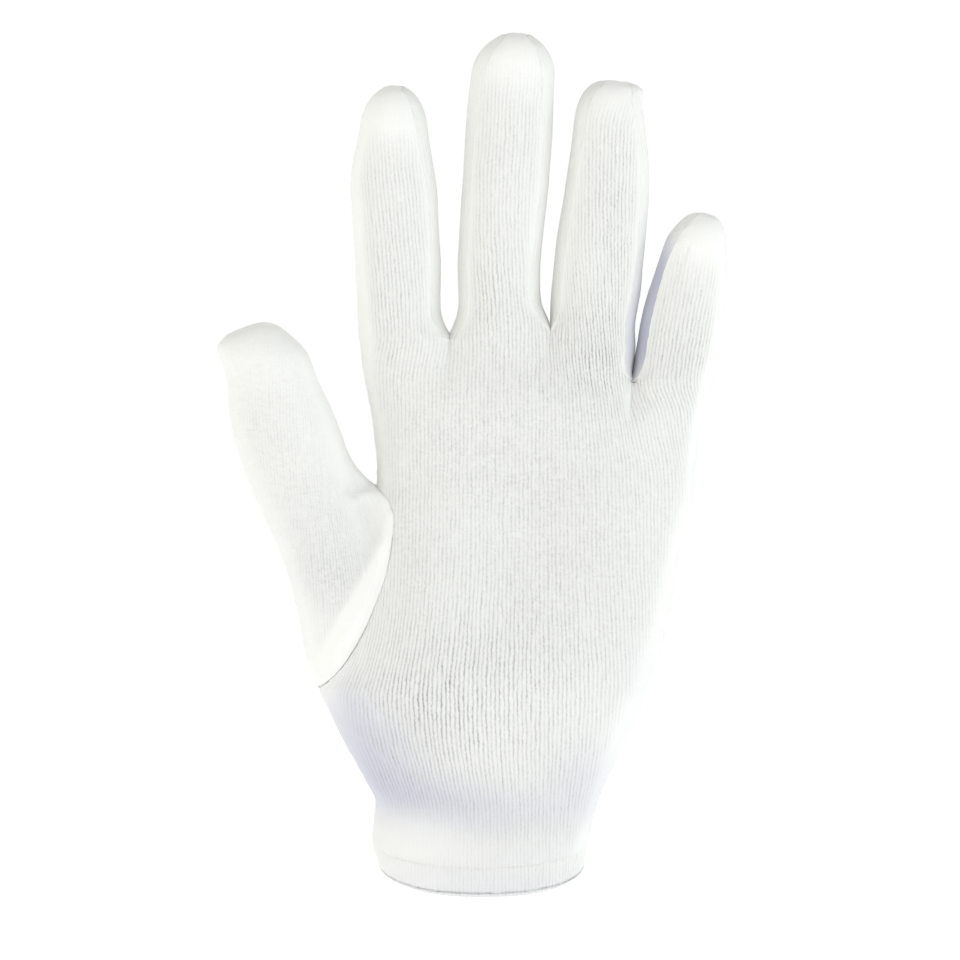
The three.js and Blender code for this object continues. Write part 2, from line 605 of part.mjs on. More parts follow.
// Thickens a panel of the skin into a closed solid
function panelGeometry(panel, outside, thickness) {
  const faces = triangles.filter((face) => face.panel === panel).map((face) => face.corners);
  const edges = openEdges(faces);
  const steps = seamSteps(edges);
  const own = new Map();
  const positions = [];
  for (const index of faces.flat()) {
    if (own.has(index)) continue;
    own.set(index, positions.length / 6);
    const place = points[index].clone().add(steps.get(index) ?? new THREE.Vector3());
    const outer = place.clone().addScaledVector(normals[index], outside);
    const inner = place.clone().addScaledVector(normals[index], outside - thickness);
    positions.push(...outer.toArray(), ...inner.toArray());
  }
  const outer = (index) => 2 * own.get(index);
  const inner = (index) => 2 * own.get(index) + 1;
  const indices = [];
  for (const [a, b, c] of faces) {
    indices.push(outer(a), outer(b), outer(c), inner(a), inner(c), inner(b));
  }
  for (const [a, b] of edges) {
    // Both panels at a seam split their walls along the same diagonal, so that twisted walls keep clear
    if (a < b) indices.push(outer(a), inner(a), inner(b), outer(a), inner(b), outer(b));
    else indices.push(outer(a), inner(a), outer(b), inner(a), inner(b), outer(b));
  }
  const geometry = new THREE.BufferGeometry();
  geometry.setAttribute('position', new THREE.Float32BufferAttribute(positions, 3));
  geometry.setIndex(indices);
  geometry.computeVertexNormals();
  return geometry;
}

function clothPanel(name, colour, outside = 0, thickness = CLOTH) {
  const material = new THREE.MeshStandardMaterial({ color: colour, roughness: 0.95, metalness: 0 });
  const mesh = new THREE.Mesh(panelGeometry(name, outside, thickness), material);
  mesh.name = name;
  return mesh;
}

const WHITE_KNIT = 0xf3f3ee;
const SHADED_KNIT = 0xececea;

const hand = new THREE.Group();
for (const name of ['palm_panel', 'back_panel', 'thumb']) hand.add(clothPanel(name, WHITE_KNIT));
for (const name of fourchetteNames) hand.add(clothPanel(name, SHADED_KNIT));

const cuff = new THREE.Group();
cuff.add(clothPanel('cuff_hem', WHITE_KNIT, (HEM_CLOTH - CLOTH) / 2, HEM_CLOTH));

const glove = new THREE.Group();
glove.add(hand, cuff);

export default glove;
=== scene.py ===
"""A white knitted cotton work glove, filled out as it is when worn, in the frame of the CAD model.

Each panel of cloth is built from the CAD model's sizes at a finer step, with its seams, rolls, folds and
puckers, and a knit whose wales run as on the glove. Sizes are millimetres until a mesh is made in metres.
"""

import math

import bpy
import numpy as np
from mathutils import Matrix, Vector, noise
from mathutils.kdtree import KDTree


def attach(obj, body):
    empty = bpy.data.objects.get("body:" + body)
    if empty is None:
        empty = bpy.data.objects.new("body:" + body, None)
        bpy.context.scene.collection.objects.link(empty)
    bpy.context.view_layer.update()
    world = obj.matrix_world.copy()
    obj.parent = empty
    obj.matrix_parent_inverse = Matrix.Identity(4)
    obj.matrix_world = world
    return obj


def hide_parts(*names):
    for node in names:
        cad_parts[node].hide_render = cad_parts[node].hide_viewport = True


MM = 0.001
NEAR = 1e-6

# Sizes of the glove, the same as in the CAD source
BODY_LENGTH = 142.2
CUFF_WIDTH = 58
CUFF_DEPTH = 38
PALM_WIDTH = 86
PALM_DEPTH = 28
HEM_HEIGHT = 7
RIM_DIP = 6.5
RIM_FADE = 45
CLOTH = 1.2
HEM_CLOTH = 2.4
HEM_PRESSED = 0.4  # the turned hem is pressed this much thinner
THUMB_SEAM_START = 47.6
THUMB_FORK = 101.6
THUMB_BASE_RISE = 1.3
THUMB_BASE_ACROSS = 0.52
THUMB_SEAM_BACK = 0.55
FINGER_LENGTH = 78.4
FINGER_WIDTH = 23.5
FINGER_DEPTH = 20
FORK_DEPTH = 15
SEAM_ROOM = 0.35
SEAM_ROOM_FROM = 0.0875
COLUMNS_FOLLOW = 0.62
DEPTH_FOLLOWS = 0.87
EASE = 1.5
FINGER_SQUARE = 2.15
TIP_ROUND = 0.94
TIP_SEAM = 0.28
FORK_BLEND = 0.34
THUMB_BLEND = 0.5
THUMB_TURN = 0.7
FORK_SLOPE = 0.08

# How finely the cloth is divided. Each step between the rows of a finger or the thumb is split into ROW_SPLIT
FINGER_COLUMNS = 32
FOURCHETTE_COLUMNS = 12
ROW_SPLIT = 6
HEM_ROWS = 8
CUFF_ROWS = 34
SEAM_ROWS = 52
KNUCKLE_ROWS = 34


class Table:
    """A short table with named columns, read by a smooth curve through its rows."""

    def __init__(self, columns, *rows):
        self.columns = columns.split()
        self.values = np.array(rows, dtype=float)

    def __call__(self, at):
        keys = self.values[:, 0]
        last = len(keys) - 1
        at = np.asarray(at, dtype=float)
        i = np.clip(np.searchsorted(keys, at, side="right") - 1, 0, last - 1)
        span = keys[i + 1] - keys[i]
        s = np.clip((at - keys[i]) / span, 0, 1)
        found = {}
        for c, name in enumerate(self.columns):
            v = self.values[:, c]

            def slope(row):
                before, after = np.maximum(row - 1, 0), np.minimum(row + 1, last)
                return (v[after] - v[before]) / (keys[after] - keys[before])

            chord = v[i + 1] - v[i]
            start, end = slope(i) * span, slope(i + 1) * span
            found[name] = v[i] + chord * s + s * (1 - s) * ((1 - s) * (start - chord) - s * (end - chord))
        return found


BODY = Table(
    "up spread shift flat front square",
    (-0.05, -0.2, 0.006, 0.0, 0.5, 2.25),
    (0.0, -0.1, 0.005, 0.03, 0.5, 2.25),
    (0.041, 0.0, 0.001, 0.16, 0.495, 2.15),
    (0.088, 0.04, 0.011, 0.56, 0.47, 2.1),
    (0.126, 0.09, 0.021, 0.92, 0.43, 2.1),
    (0.156, 0.23, 0.018, 0.97, 0.425, 2.15),
    (0.201, 0.47, 0.015, 0.8, 0.45, 2.2),
    (0.245, 0.71, 0.011, 0.6, 0.49, 2.25),
    (0.291, 0.93, 0.012, 0.4, 0.53, 2.3),
    (0.334, 1.11, 0.014, 0.32, 0.56, 2.3),
    (0.382, 1.11, 0.032, 0.36, 0.565, 2.35),
    (0.46, 1.09, 0.069, 0.56, 0.555, 2.4),
    (0.555, 1.04, 0.107, 0.79, 0.54, 2.45),
    (0.62, 1.015, 0.131, 0.95, 0.52, 2.5),
    (0.674, 1.01, 0.156, 0.985, 0.52, 2.5),
    (0.715, 0.98, 0.17, 1.0, 0.51, 2.5),
    (0.787, 1.01, 0.174, 1.045, 0.5, 2.5),
    (0.855, 1.12, 0.178, 1.12, 0.49, 2.5),
    (0.923, 1.27, 0.18, 1.21, 0.48, 2.5),
    (1.02, 1.43, 0.184, 1.3, 0.47, 2.5),
)
FORKS = ((-0.097, 1.0), (0.215, 1.017), (0.47, 0.923))
OUTER_SIDES = {"index": 1.0, "little": 0.923}
THUMB_SEAM = Table(
    "at inset",
    (0, 0), (0.02, 0.018), (0.07, 0.046), (0.15, 0.07), (0.28, 0.092), (0.43, 0.104),
    (0.58, 0.109), (0.73, 0.101), (0.85, 0.084), (0.93, 0.053), (0.98, 0.015), (1, 0),
)
# Soft forms of the palm: across, up, wide, tall, push
PALM_PADS = (
    (-0.2, 0.46, 0.17, 0.17, 0.07),
    (0.46, 0.45, 0.14, 0.24, 0.05),
    (0.13, 0.6, 0.17, 0.17, -0.08),
    (0.2, 0.86, 0.4, 0.07, 0.05),
    (-0.29, 0.21, 0.14, 0.06, -0.1),
)


def outline(*rows):
    return Table("at left right front back", *rows)


OUTLINES = {
    "index": outline(
        (-0.1, 0.53, 0.53, 0.55, 0.62),
        (0.04, 0.524, 0.446, 0.53, 0.57),
        (0.12, 0.521, 0.434, 0.518, 0.545),
        (0.3, 0.532, 0.44, 0.5, 0.5),
        (0.55, 0.56, 0.425, 0.49, 0.49),
        (0.7, 0.525, 0.375, 0.47, 0.46),
        (0.85, 0.42, 0.335, 0.44, 0.42),
        (1.0, 0.43, 0.32, 0.42, 0.4),
    ),
    "middle": outline(
        (-0.1, 0.56, 0.56, 0.55, 0.62),
        (0.03, 0.508, 0.55, 0.54, 0.58),
        (0.1, 0.502, 0.468, 0.52, 0.55),
        (0.25, 0.525, 0.435, 0.5, 0.5),
        (0.5, 0.52, 0.48, 0.49, 0.49),
        (0.75, 0.508, 0.49, 0.47, 0.46),
        (0.88, 0.48, 0.475, 0.45, 0.43),
        (1.0, 0.42, 0.49, 0.42, 0.4),
    ),
    "ring": outline(
        (-0.1, 0.5, 0.47, 0.55, 0.62),
        (0.01, 0.5, 0.505, 0.54, 0.59),
        (0.1, 0.505, 0.475, 0.52, 0.55),
        (0.25, 0.5, 0.515, 0.5, 0.5),
        (0.45, 0.465, 0.532, 0.49, 0.49),
        (0.7, 0.41, 0.49, 0.47, 0.46),
        (0.87, 0.39, 0.41, 0.44, 0.42),
        (0.94, 0.41, 0.46, 0.43, 0.41),
        (1.0, 0.47, 0.8, 0.42, 0.4),
    ),
    "little": outline(
        (-0.15, 0.507, 0.52, 0.55, 0.62),
        (0.1, 0.507, 0.515, 0.53, 0.55),
        (0.3, 0.507, 0.507, 0.5, 0.5),
        (0.6, 0.456, 0.46, 0.48, 0.48),
        (0.8, 0.4, 0.372, 0.45, 0.44),
        (0.92, 0.36, 0.395, 0.42, 0.4),
        (1.0, 0.37, 0.48, 0.4, 0.38),
    ),
    "thumb": outline(
        (0.0, 0.57, 0.6, 0.52, 0.5),
        (0.1, 0.54, 0.6, 0.53, 0.5),
        (0.22, 0.49, 0.58, 0.53, 0.5),
        (0.39, 0.46, 0.53, 0.52, 0.5),
        (0.56, 0.51, 0.5, 0.5, 0.49),
        (0.67, 0.535, 0.495, 0.48, 0.48),
        (0.78, 0.505, 0.455, 0.46, 0.46),
        (0.88, 0.41, 0.43, 0.44, 0.42),
        (0.945, 0.5, 0.38, 0.42, 0.4),
        (1.0, 0.8, 0.42, 0.4, 0.38),
    ),
}
FOURCHETTE_ANGLE = Table("at half", (-0.1, 42), (0.3, 39), (0.6, 39), (0.8, 47), (1.0, 56))
FINGER_ROWS = (0, 0.05, 0.12, 0.22, 0.34, 0.47, 0.6, 0.72, 0.82, 0.9, 0.955, 0.985, 1)
THUMB_ROWS = (0, 0.08, 0.18, 0.3, 0.43, 0.56, 0.69, 0.8, 0.885, 0.945, 0.98, 1)

# The knit
WALE = 1.05  # width of one wale
COURSE = 0.82  # height of one course
WALE_START = 15.0  # x of the wale that the others are counted from
# The palm's wales lean over left of GATHER_FROM, by the amounts in the tables at GATHER_WIDE from it
GATHER_FROM = -5.3
GATHER_WIDE = 32.4
GATHER_MOST = 1.3  # the lean grows up to this many times GATHER_WIDE
GATHER_EASE = 2.5  # and above the heel by this exponent
GATHER_ABOVE = Table(
    "z shift", (0, 0), (46, 0), (50, 1.6), (57, 5), (64, 6.5), (72, 6.5), (90, 4), (115, 0), (142, 0)
)
GATHER_BELOW = Table("z shift", (0, 1), (12, 1), (19, 1), (27, 0.5), (34, 0), (142, 0))
# The knit is drawn wider over the heel of the hand
DRAWN = Table(
    "z wide",
    (0, 0.97), (17, 0.97), (24, 1.03), (33, 1.1), (44, 1.13), (52, 1.12), (64, 1.07), (85, 1.02), (142, 1),
)
# How far the wales of each finger lean away from the vertical, from its base to its tip
LEANS = {
    "index": Table("at shift", (0, 0), (0.2, -0.6), (0.45, -2.0), (0.7, -3.4), (1, -4.6)),
    "middle": Table("at shift", (0, 0), (0.2, -1.0), (0.4, -1.6), (0.7, -0.7), (1, 0.4)),
    "ring": Table("at shift", (0, 0), (0.15, -1.0), (0.35, -1.8), (0.6, -1.9), (1, -1.2)),
    "little": Table("at shift", (0, 0), (0.3, 1.9), (0.6, 4.2), (1, 6.8)),
}


class Digit:
    """A finger or the thumb: its sizes, and the place of its base once that is known."""

    def __init__(self, name, length, width, depth, lean, curl):
        self.name, self.length, self.width, self.depth = name, length, width, depth
        self.lean, self.curl = math.radians(lean), curl
        self.base = np.zeros(3)

    def on_axis(self, lateral, y, at):
        along = np.asarray(at) * self.length
        x = self.base[0] + lateral * math.cos(self.lean) + along * math.sin(self.lean)
        z = self.base[2] - lateral * math.sin(self.lean) + along * math.cos(self.lean)
        return np.stack(np.broadcast_arrays(x, y, z), axis=-1)

    def point(self, angle, at):
        angle = np.radians(angle)
        at = np.asarray(at, dtype=float)
        row = OUTLINES[self.name](at)
        start = 1 - TIP_ROUND * self.width / 2 / self.length
        cap = np.sqrt(np.maximum(0, 1 - (np.maximum(0, at - start) / (1 - start)) ** 2))
        half = (row["left"] + row["right"]) / 2 * self.width * cap
        middle = (row["right"] - row["left"]) / 2 * self.width * cap
        lateral = middle + half * rounded(np.cos(angle), FINGER_SQUARE)
        across = rounded(np.sin(angle), FINGER_SQUARE) * cap * self.depth
        y = -across * np.where(across > 0, row["front"], row["back"]) - self.curl * self.length * at * at
        return self.on_axis(lateral, y, at)

    def tip(self, share):
        row = OUTLINES[self.name](1.0)
        reach = np.where(share < 0, row["left"], row["right"]) * self.width * TIP_SEAM
        drop = TIP_ROUND * self.width / 2 * (1 - np.sqrt(1 - (TIP_SEAM * share) ** 2))
        return self.on_axis(reach * share, -self.curl * self.length, 1 - drop / self.length)

    def cap(self, ring, tips, row, last_row):
        """A ring of points on the round end, between the last full ring and the seam over the tip."""
        t = (row - last_row) / (1 - last_row)
        axis = np.array([math.sin(self.lean), 0, math.cos(self.lean)])
        climb = (tips - ring) @ axis
        return lerp(ring, tips, t) + np.outer(climb * (math.sin(math.pi / 2 * t) - t), axis)

    def share_along(self, p):
        dx, dz = p[..., 0] - self.base[0], p[..., 2] - self.base[2]
        return (dx * math.sin(self.lean) + dz * math.cos(self.lean)) / self.length

    def angle_about(self, p):
        dx, dz = p[..., 0] - self.base[0], p[..., 2] - self.base[2]
        return np.degrees(np.arctan2(-p[..., 1], dx * math.cos(self.lean) - dz * math.sin(self.lean)))


FINGERS = (
    Digit("index", 0.837 * FINGER_LENGTH, FINGER_WIDTH, 0.975 * FINGER_DEPTH, -1.7, 0.05),
    Digit("middle", FINGER_LENGTH, 0.979 * FINGER_WIDTH, FINGER_DEPTH, 3.1, 0.05),
    Digit("ring", 0.911 * FINGER_LENGTH, FINGER_WIDTH, 0.975 * FINGER_DEPTH, 4.3, 0.05),
    Digit("little", 0.557 * FINGER_LENGTH, 0.915 * FINGER_WIDTH, 0.9 * FINGER_DEPTH, 10.4, 0.05),
)
THUMB = Digit("thumb", 100.7, 27, 25, -18.1, 0.08)


def rounded(value, square):
    return np.sign(value) * np.abs(value) ** (2 / square)


def lerp(a, b, t):
    return a + (b - a) * t


def smooth(value, low, high):
    t = np.clip((value - low) / (high - low), 0, 1)
    return t * t * (3 - 2 * t)


def body_section(z):
    """Middle, half width, depth to the palm side and to the back, and squareness of the body at a height."""
    row = BODY(np.asarray(z) / BODY_LENGTH)
    width = lerp(CUFF_WIDTH, PALM_WIDTH, row["spread"])
    depth = lerp(CUFF_DEPTH, PALM_DEPTH, row["flat"])
    front = row["front"] * depth
    return row["shift"] * PALM_WIDTH, width / 2, front, depth - front, row["square"]


def pad_push(x, z):
    """How far the soft forms push the palm out."""
    push = 0
    for across, up, wide, tall, amount in PALM_PADS:
        dx = (x / PALM_WIDTH - across) / wide
        dz = (z / BODY_LENGTH - up) / tall
        push = push + amount * PALM_DEPTH * np.exp(-dx * dx - dz * dz)
    return push


def body_y(x, z, side):
    middle, half, front, back, square = body_section(z)
    across = np.minimum(1, np.abs(x - middle) / half)
    rise = (1 - across**square) ** (1 / square)
    return back * rise if side > 0 else -rise * (front + pad_push(x, z))


def split_rows(rows, parts):
    """The same rows with each step between them divided into parts."""
    rows = np.asarray(rows, dtype=float)
    steps = (len(rows) - 1) * parts
    return np.interp(np.arange(steps + 1) / parts, np.arange(len(rows)), rows)


class Skin:
    """The outer face of the glove: shared points, and quads that carry the name of their panel."""

    def __init__(self):
        self.points = []
        self.quads = {}
        self.knit = {}
        self.closing = {}

    def add(self, places):
        first = len(self.points)
        self.points.extend(np.asarray(places, dtype=float).reshape(-1, 3))
        return list(range(first, len(self.points)))

    def at(self, indices):
        return np.array([self.points[i] for i in indices])

    def band(self, lower, upper, panels):
        """Fills the band between two rows of points. panels names one panel, or one for each step."""
        if isinstance(panels, str):
            panels = [panels] * (len(lower) - 1)
        for k, panel in enumerate(panels):
            corners = [lower[k], lower[k + 1], upper[k + 1], upper[k]]
            kept = [c for i, c in enumerate(corners) if c != corners[i - 1]]
            if len(kept) > 2:
                self.quads.setdefault(panel, []).append(kept)

    def tube(self, rings, panels):
        """Closes each ring and fills the bands between them. Returns the closed rings."""
        rings = [ring + [ring[0]] for ring in rings]
        for lower, upper in zip(rings, rings[1:]):
            self.band(lower, upper, panels)
        return rings

    def lay(self, panel, indices, wales, courses):
        """Gives points their place in the knit of a panel."""
        places = self.knit.setdefault(panel, {})
        for index, u, v in zip(indices, wales, courses):
            places.setdefault(index, (float(u), float(v)))

    def close(self, panel, index, wales):
        """Gives the point where a ring of the knit closes its count at the far end of the ring."""
        self.closing[panel, index] = float(wales)

    def normals(self):
        found = np.zeros((len(self.points), 3))
        places = np.array(self.points)
        for quads in self.quads.values():
            for corners in quads:
                a, b, c = places[corners[:3]]
                d = places[corners[-1]]
                found[corners] += np.cross(c - a, d - b)
        return found / np.linalg.norm(found, axis=1)[:, None]


skin = Skin()


def fork_points(across, up):
    share = np.linspace(-1, 1, FOURCHETTE_COLUMNS + 1)
    z = up * BODY_LENGTH - FORK_SLOPE * FINGERS[1].width * share * share
    return skin.add(np.stack([np.full_like(share, across * PALM_WIDTH), FORK_DEPTH / 2 * share, z], axis=1))


def outer_point(up, side):
    middle, half, *_ = body_section(up * BODY_LENGTH)
    return skin.add([(middle + side * half, 0, up * BODY_LENGTH)])


def web_middle(web):
    """The middle of a web of cloth in a fork, on the middle plane of the glove."""
    return skin.points[web[len(web) // 2]] * (1, 0, 1)


def build_finger(finger, left, right, left_panel, right_panel):
    """Builds the rings of a finger, up from the webs at its left and right."""
    finger.base = (web_middle(left) + web_middle(right)) / 2
    has_left, has_right = len(left) > 1, len(right) > 1

    # The panels round the finger: name, number of columns, first corner, and places on the tip seam
    spans = [("palm_panel", FINGER_COLUMNS, 0, -1, 1)]
    if has_right:
        spans.append((right_panel, FOURCHETTE_COLUMNS, 1, 1, 1))
    spans.append(("back_panel", FINGER_COLUMNS, 2, 1, -1))
    if has_left:
        spans.append((left_panel, FOURCHETTE_COLUMNS, 3, -1, -1))
    names, shares, corners, tip_shares = [], [], [], []
    for name, count, corner, tip_from, tip_to in spans:
        for k in range(count):
            names.append(name)
            shares.append(k / count)
            corners.append(corner)
            tip_shares.append(lerp(tip_from, tip_to, k / count))

    def angle_of(column, at):
        """The angle about the finger of a column, at a share of the length."""
        half = float(FOURCHETTE_ANGLE(at)["half"])
        left_front = 180 - half * has_left
        right_front = half * has_right
        found = (left_front, right_front, -right_front, -left_front, left_front - 360)
        return lerp(found[corners[column]], found[corners[column] + 1], shares[column])

    right_at = FINGER_COLUMNS
    back_at = right_at + (FOURCHETTE_COLUMNS if has_right else 0)
    left_at = back_at + FINGER_COLUMNS
    fixed = {0: left[0]}
    fixed.update({right_at + m: index for m, index in enumerate(right)})
    fixed.update({left_at + m: index for m, index in enumerate(left[1:][::-1])})
    if not has_left:
        fixed[left_at] = left[0]
    pulls = {}
    for k, index in fixed.items():
        place = skin.points[index]
        at = finger.share_along(place)
        pulls[k] = (at, place - finger.point(angle_of(k % len(names), at), at))
    anchors = sorted(fixed)
    starts, drawn = [], []
    for k in range(len(names)):
        before = max(a for a in anchors if a <= k)
        after = min([a for a in anchors if a >= k] or [len(names)])
        (at0, pull0), (at1, pull1) = pulls[before], pulls.get(after, pulls[0])
        share = (k - before) / (after - before) if after > before else 0
        starts.append(lerp(at0, at1, share))
        drawn.append(lerp(pull0, pull1, share))
    starts, drawn = np.array(starts), np.array(drawn)

    tip = skin.add(finger.tip(np.linspace(-1, 1, FINGER_COLUMNS + 1)))
    tips = [tip[round((share + 1) / 2 * FINGER_COLUMNS)] for share in tip_shares]
    rings = []
    for row in split_rows(FINGER_ROWS, ROW_SPLIT):
        if row == 1:
            rings.append(tips)
        elif row > FINGER_ROWS[-2] + NEAR:
            rings.append(skin.add(finger.cap(last_ring, skin.at(tips), row, FINGER_ROWS[-2])))
        else:
            at = lerp(starts, 1, row)
            angles = np.array([angle_of(k, t) for k, t in enumerate(at)])
            climbed = (at - starts) * finger.length / (FORK_BLEND * finger.width)
            last_ring = finger.point(angles, at) + drawn * (np.maximum(0, 1 - climbed) ** 2)[:, None]
            if row == 0:
                rings.append([fixed[k] if k in fixed else skin.add(p)[0] for k, p in enumerate(last_ring)])
            else:
                rings.append(skin.add(last_ring))
    parts = {"palm_panel": (0, right_at), "back_panel": (back_at, left_at)}
    if has_right:
        parts[right_panel] = (right_at, back_at)
    if has_left:
        parts[left_panel] = (left_at, len(names))
    return skin.tube(rings, names), parts


def row_heights():
    """Heights of the body's rows, as shares of BODY_LENGTH."""
    start, fork, hem = THUMB_SEAM_START / BODY_LENGTH, THUMB_FORK / BODY_LENGTH, HEM_HEIGHT / BODY_LENGTH
    seam = (1 - np.cos(np.pi * np.arange(SEAM_ROWS) / SEAM_ROWS)) / 2
    return np.concatenate([
        np.linspace(0, hem, HEM_ROWS, endpoint=False),
        np.linspace(hem, start, CUFF_ROWS, endpoint=False),
        lerp(start, fork, seam),
        lerp(fork, 1, 1 - (1 - np.arange(KNUCKLE_ROWS) / KNUCKLE_ROWS) ** EASE),
    ])


def left_edge(z, side):
    """Where the thumb seam lies at a height. Above and below it, the hand's side."""
    middle, half, *_ = body_section(z)
    at = (z - THUMB_SEAM_START) / (THUMB_FORK - THUMB_SEAM_START)
    inset = max(0, float(THUMB_SEAM(at)["inset"])) * PALM_WIDTH if 0 < at < 1 else 0
    return middle - half + inset * (1 if side < 0 else THUMB_SEAM_BACK)


def body_row(up, side, top):
    """One row of points on the palm side or the back, left to right. top is its row at the fingers."""
    rise = smooth(up, COLUMNS_FOLLOW, 1)
    to_fingers = smooth(up, DEPTH_FOLLOWS, 1) ** EASE
    z = up * BODY_LENGTH + (top[:, 2] - BODY_LENGTH) * rise
    x0 = left_edge(z[0], side)
    right_middle, right_half, *_ = body_section(z[-1])
    middle, half, *_ = body_section(up * BODY_LENGTH)
    cut_away = (x0 - middle + half) / (middle + half - x0)
    room = SEAM_ROOM * smooth(cut_away, 0, SEAM_ROOM_FROM)
    step = np.linspace(0, 1, len(top))
    share = (1 - np.cos(np.pi * step)) / 2
    even = share + cut_away * ((1 - share) ** 2 - (1 - share)) + room * step * (1 - step) ** 3
    at_top = (top[:, 0] - top[0, 0]) / (top[-1, 0] - top[0, 0])
    x = lerp(x0, right_middle + right_half, lerp(even, at_top, rise))
    y = lerp(body_y(x, z, side), top[:, 1], to_fingers)
    half_depth = lerp(CUFF_DEPTH, PALM_DEPTH, BODY(up)["flat"]) / 2
    fade = 1 - smooth(up * BODY_LENGTH, 0, RIM_FADE)
    return np.stack([x, y, z + RIM_DIP * y / half_depth * fade], axis=1)


def lengths_along(places):
    return np.concatenate([[0], np.cumsum(np.linalg.norm(np.diff(places, axis=0), axis=1))])


def gathered(x, z):
    """How far the palm's wales lean, towards the thumb seam above the heel and the cuff below it."""
    share = np.clip((GATHER_FROM - x) / GATHER_WIDE, 0, GATHER_MOST)
    above = -(share**GATHER_EASE) * float(GATHER_ABOVE(z)["shift"])
    return above - share * float(GATHER_BELOW(z)["shift"])


def lay_row(panel, indices, x_start, wale_start, lean=None):
    """Counts wales along a row of points, by length along the cloth from where the row passes x_start."""
    places = skin.at(indices)
    run = lengths_along(places)
    order = 1 if places[-1, 0] > places[0, 0] else -1
    origin = np.interp(x_start, places[::order, 0], run[::order])
    height = places[:, 2].mean()
    wide = WALE * float(DRAWN(height)["wide"])
    counts = wale_start + order * (run - origin) / wide
    if lean:
        counts = counts + (lean(places[:, 0], height) - lean(x_start, height)) / wide
    skin.lay(panel, indices, counts, places[:, 2] / COURSE)


def build_body(top_front, top_back):
    """Builds the body's rows and counts its wales. Returns the thumb's loop, the rim and the hem seam."""
    fronts, backs = skin.at(top_front), skin.at(top_back)[::-1]
    start, fork = THUMB_SEAM_START / BODY_LENGTH, THUMB_FORK / BODY_LENGTH
    thumb_front, thumb_back, rows = [], [], []
    for up in row_heights():
        front = skin.add(body_row(up, -1, fronts))
        back_places = body_row(up, 1, backs)[::-1]
        is_open = start + NEAR < up < fork - NEAR
        back = [front[-1]] + skin.add(back_places[1:-1])
        back.append(skin.add(back_places[-1])[0] if is_open else front[0])
        if start - NEAR < up < fork + NEAR:
            thumb_front.append(front[0])
            thumb_back.append(back[-1])
        rows.append((front, back))
    rows.append((top_front, top_back))
    for i, (lower, upper) in enumerate(zip(rows, rows[1:])):
        front_panel, back_panel = ("cuff_hem", "cuff_hem") if i < HEM_ROWS else ("palm_panel", "back_panel")
        skin.band(lower[0], upper[0], front_panel)
        skin.band(lower[1], upper[1], back_panel)
    for front, back in rows[: HEM_ROWS + 1]:
        lay_row("cuff_hem", front, WALE_START, 0)
        places = skin.at(back)
        counts = skin.knit["cuff_hem"][front[-1]][0] + lengths_along(places) / WALE
        skin.lay("cuff_hem", back[1:-1], counts[1:-1], places[1:-1, 2] / COURSE)
        skin.close("cuff_hem", back[-1], counts[-1])
    for front, back in rows[HEM_ROWS:]:
        lay_row("palm_panel", front, WALE_START, 0, gathered)
        lay_row("back_panel", back, WALE_START, 0)
    thumb_loop = thumb_front + thumb_back[1:-1][::-1]
    return thumb_loop, set(rows[0][0] + rows[0][1]), set(rows[HEM_ROWS][0] + rows[HEM_ROWS][1])


def build_thumb(loop):
    """Builds the thumb's rings on the loop of its seam: up the palm side, over the fork, down the back."""
    first = skin.points[loop[0]]
    THUMB.base = np.array([first[0] + THUMB_BASE_ACROSS * THUMB.width, 0, first[2] + THUMB_BASE_RISE])
    count, half = len(loop), len(loop) // 2
    places = skin.at(loop)
    own = THUMB.angle_about(places)
    k = np.arange(count)
    own = np.where((k > half) & (own > 0), own - 360, own)
    at0 = THUMB.share_along(places)
    pull = places - THUMB.point(own, at0)
    own[0] = 180
    even = 180 - 360 * k / count
    tip = skin.add(THUMB.tip(np.linspace(-1, 1, half + 1)))
    tips = [tip[i if i <= half else count - i] for i in range(count)]
    rings = []
    for row in split_rows(THUMB_ROWS, ROW_SPLIT):
        if row == 0:
            rings.append(list(loop))
        elif row == 1:
            rings.append(tips)
        elif row > THUMB_ROWS[-2] + NEAR:
            rings.append(skin.add(THUMB.cap(last_ring, skin.at(tips), row, THUMB_ROWS[-2])))
        else:
            at = lerp(at0, 1, row)
            climbed = (at - at0) * THUMB.length / (THUMB_BLEND * THUMB.width)
            spread = THUMB.point(lerp(own, even, smooth(row, 0, THUMB_TURN)), at)
            last_ring = spread + pull * (np.maximum(0, 1 - climbed) ** 2)[:, None]
            rings.append(skin.add(last_ring))
    return skin.tube(rings, "thumb")


def lay_fingers(finger_rings):
    """Carries the wales of the palm and the back up the fingers."""
    for finger, (rings, parts) in zip(FINGERS, finger_rings):
        for panel, (first, last) in parts.items():
            if panel in ("palm_panel", "back_panel"):
                lay_finger_side(finger, rings, panel, first, last)
            else:
                for ring in rings:
                    places = skin.at(ring[first : last + 1])
                    run = lengths_along(places)
                    skin.lay(panel, ring[first : last + 1], (run - run[-1] / 2) / WALE, places[:, 2] / COURSE)


def lay_finger_side(finger, rings, panel, first, last):
    """Carries the wales of one panel up one side of a finger."""
    base = rings[0][first : last + 1]
    places = skin.at(base)
    middle_x = (places[0, 0] + places[-1, 0]) / 2
    counts = [skin.knit[panel][index][0] for index in base]
    order = 1 if places[-1, 0] > places[0, 0] else -1
    middle_u = np.interp(middle_x, places[::order, 0], counts[::order])
    lean = gathered if panel == "palm_panel" else None
    for ring in rings[1:]:
        indices = ring[first : last + 1]
        at = np.clip(finger.share_along(skin.at(indices).mean(axis=0)), 0, 1)
        start = middle_x + float(LEANS[finger.name](at)["shift"])
        lay_row(panel, indices, start, middle_u, lean)


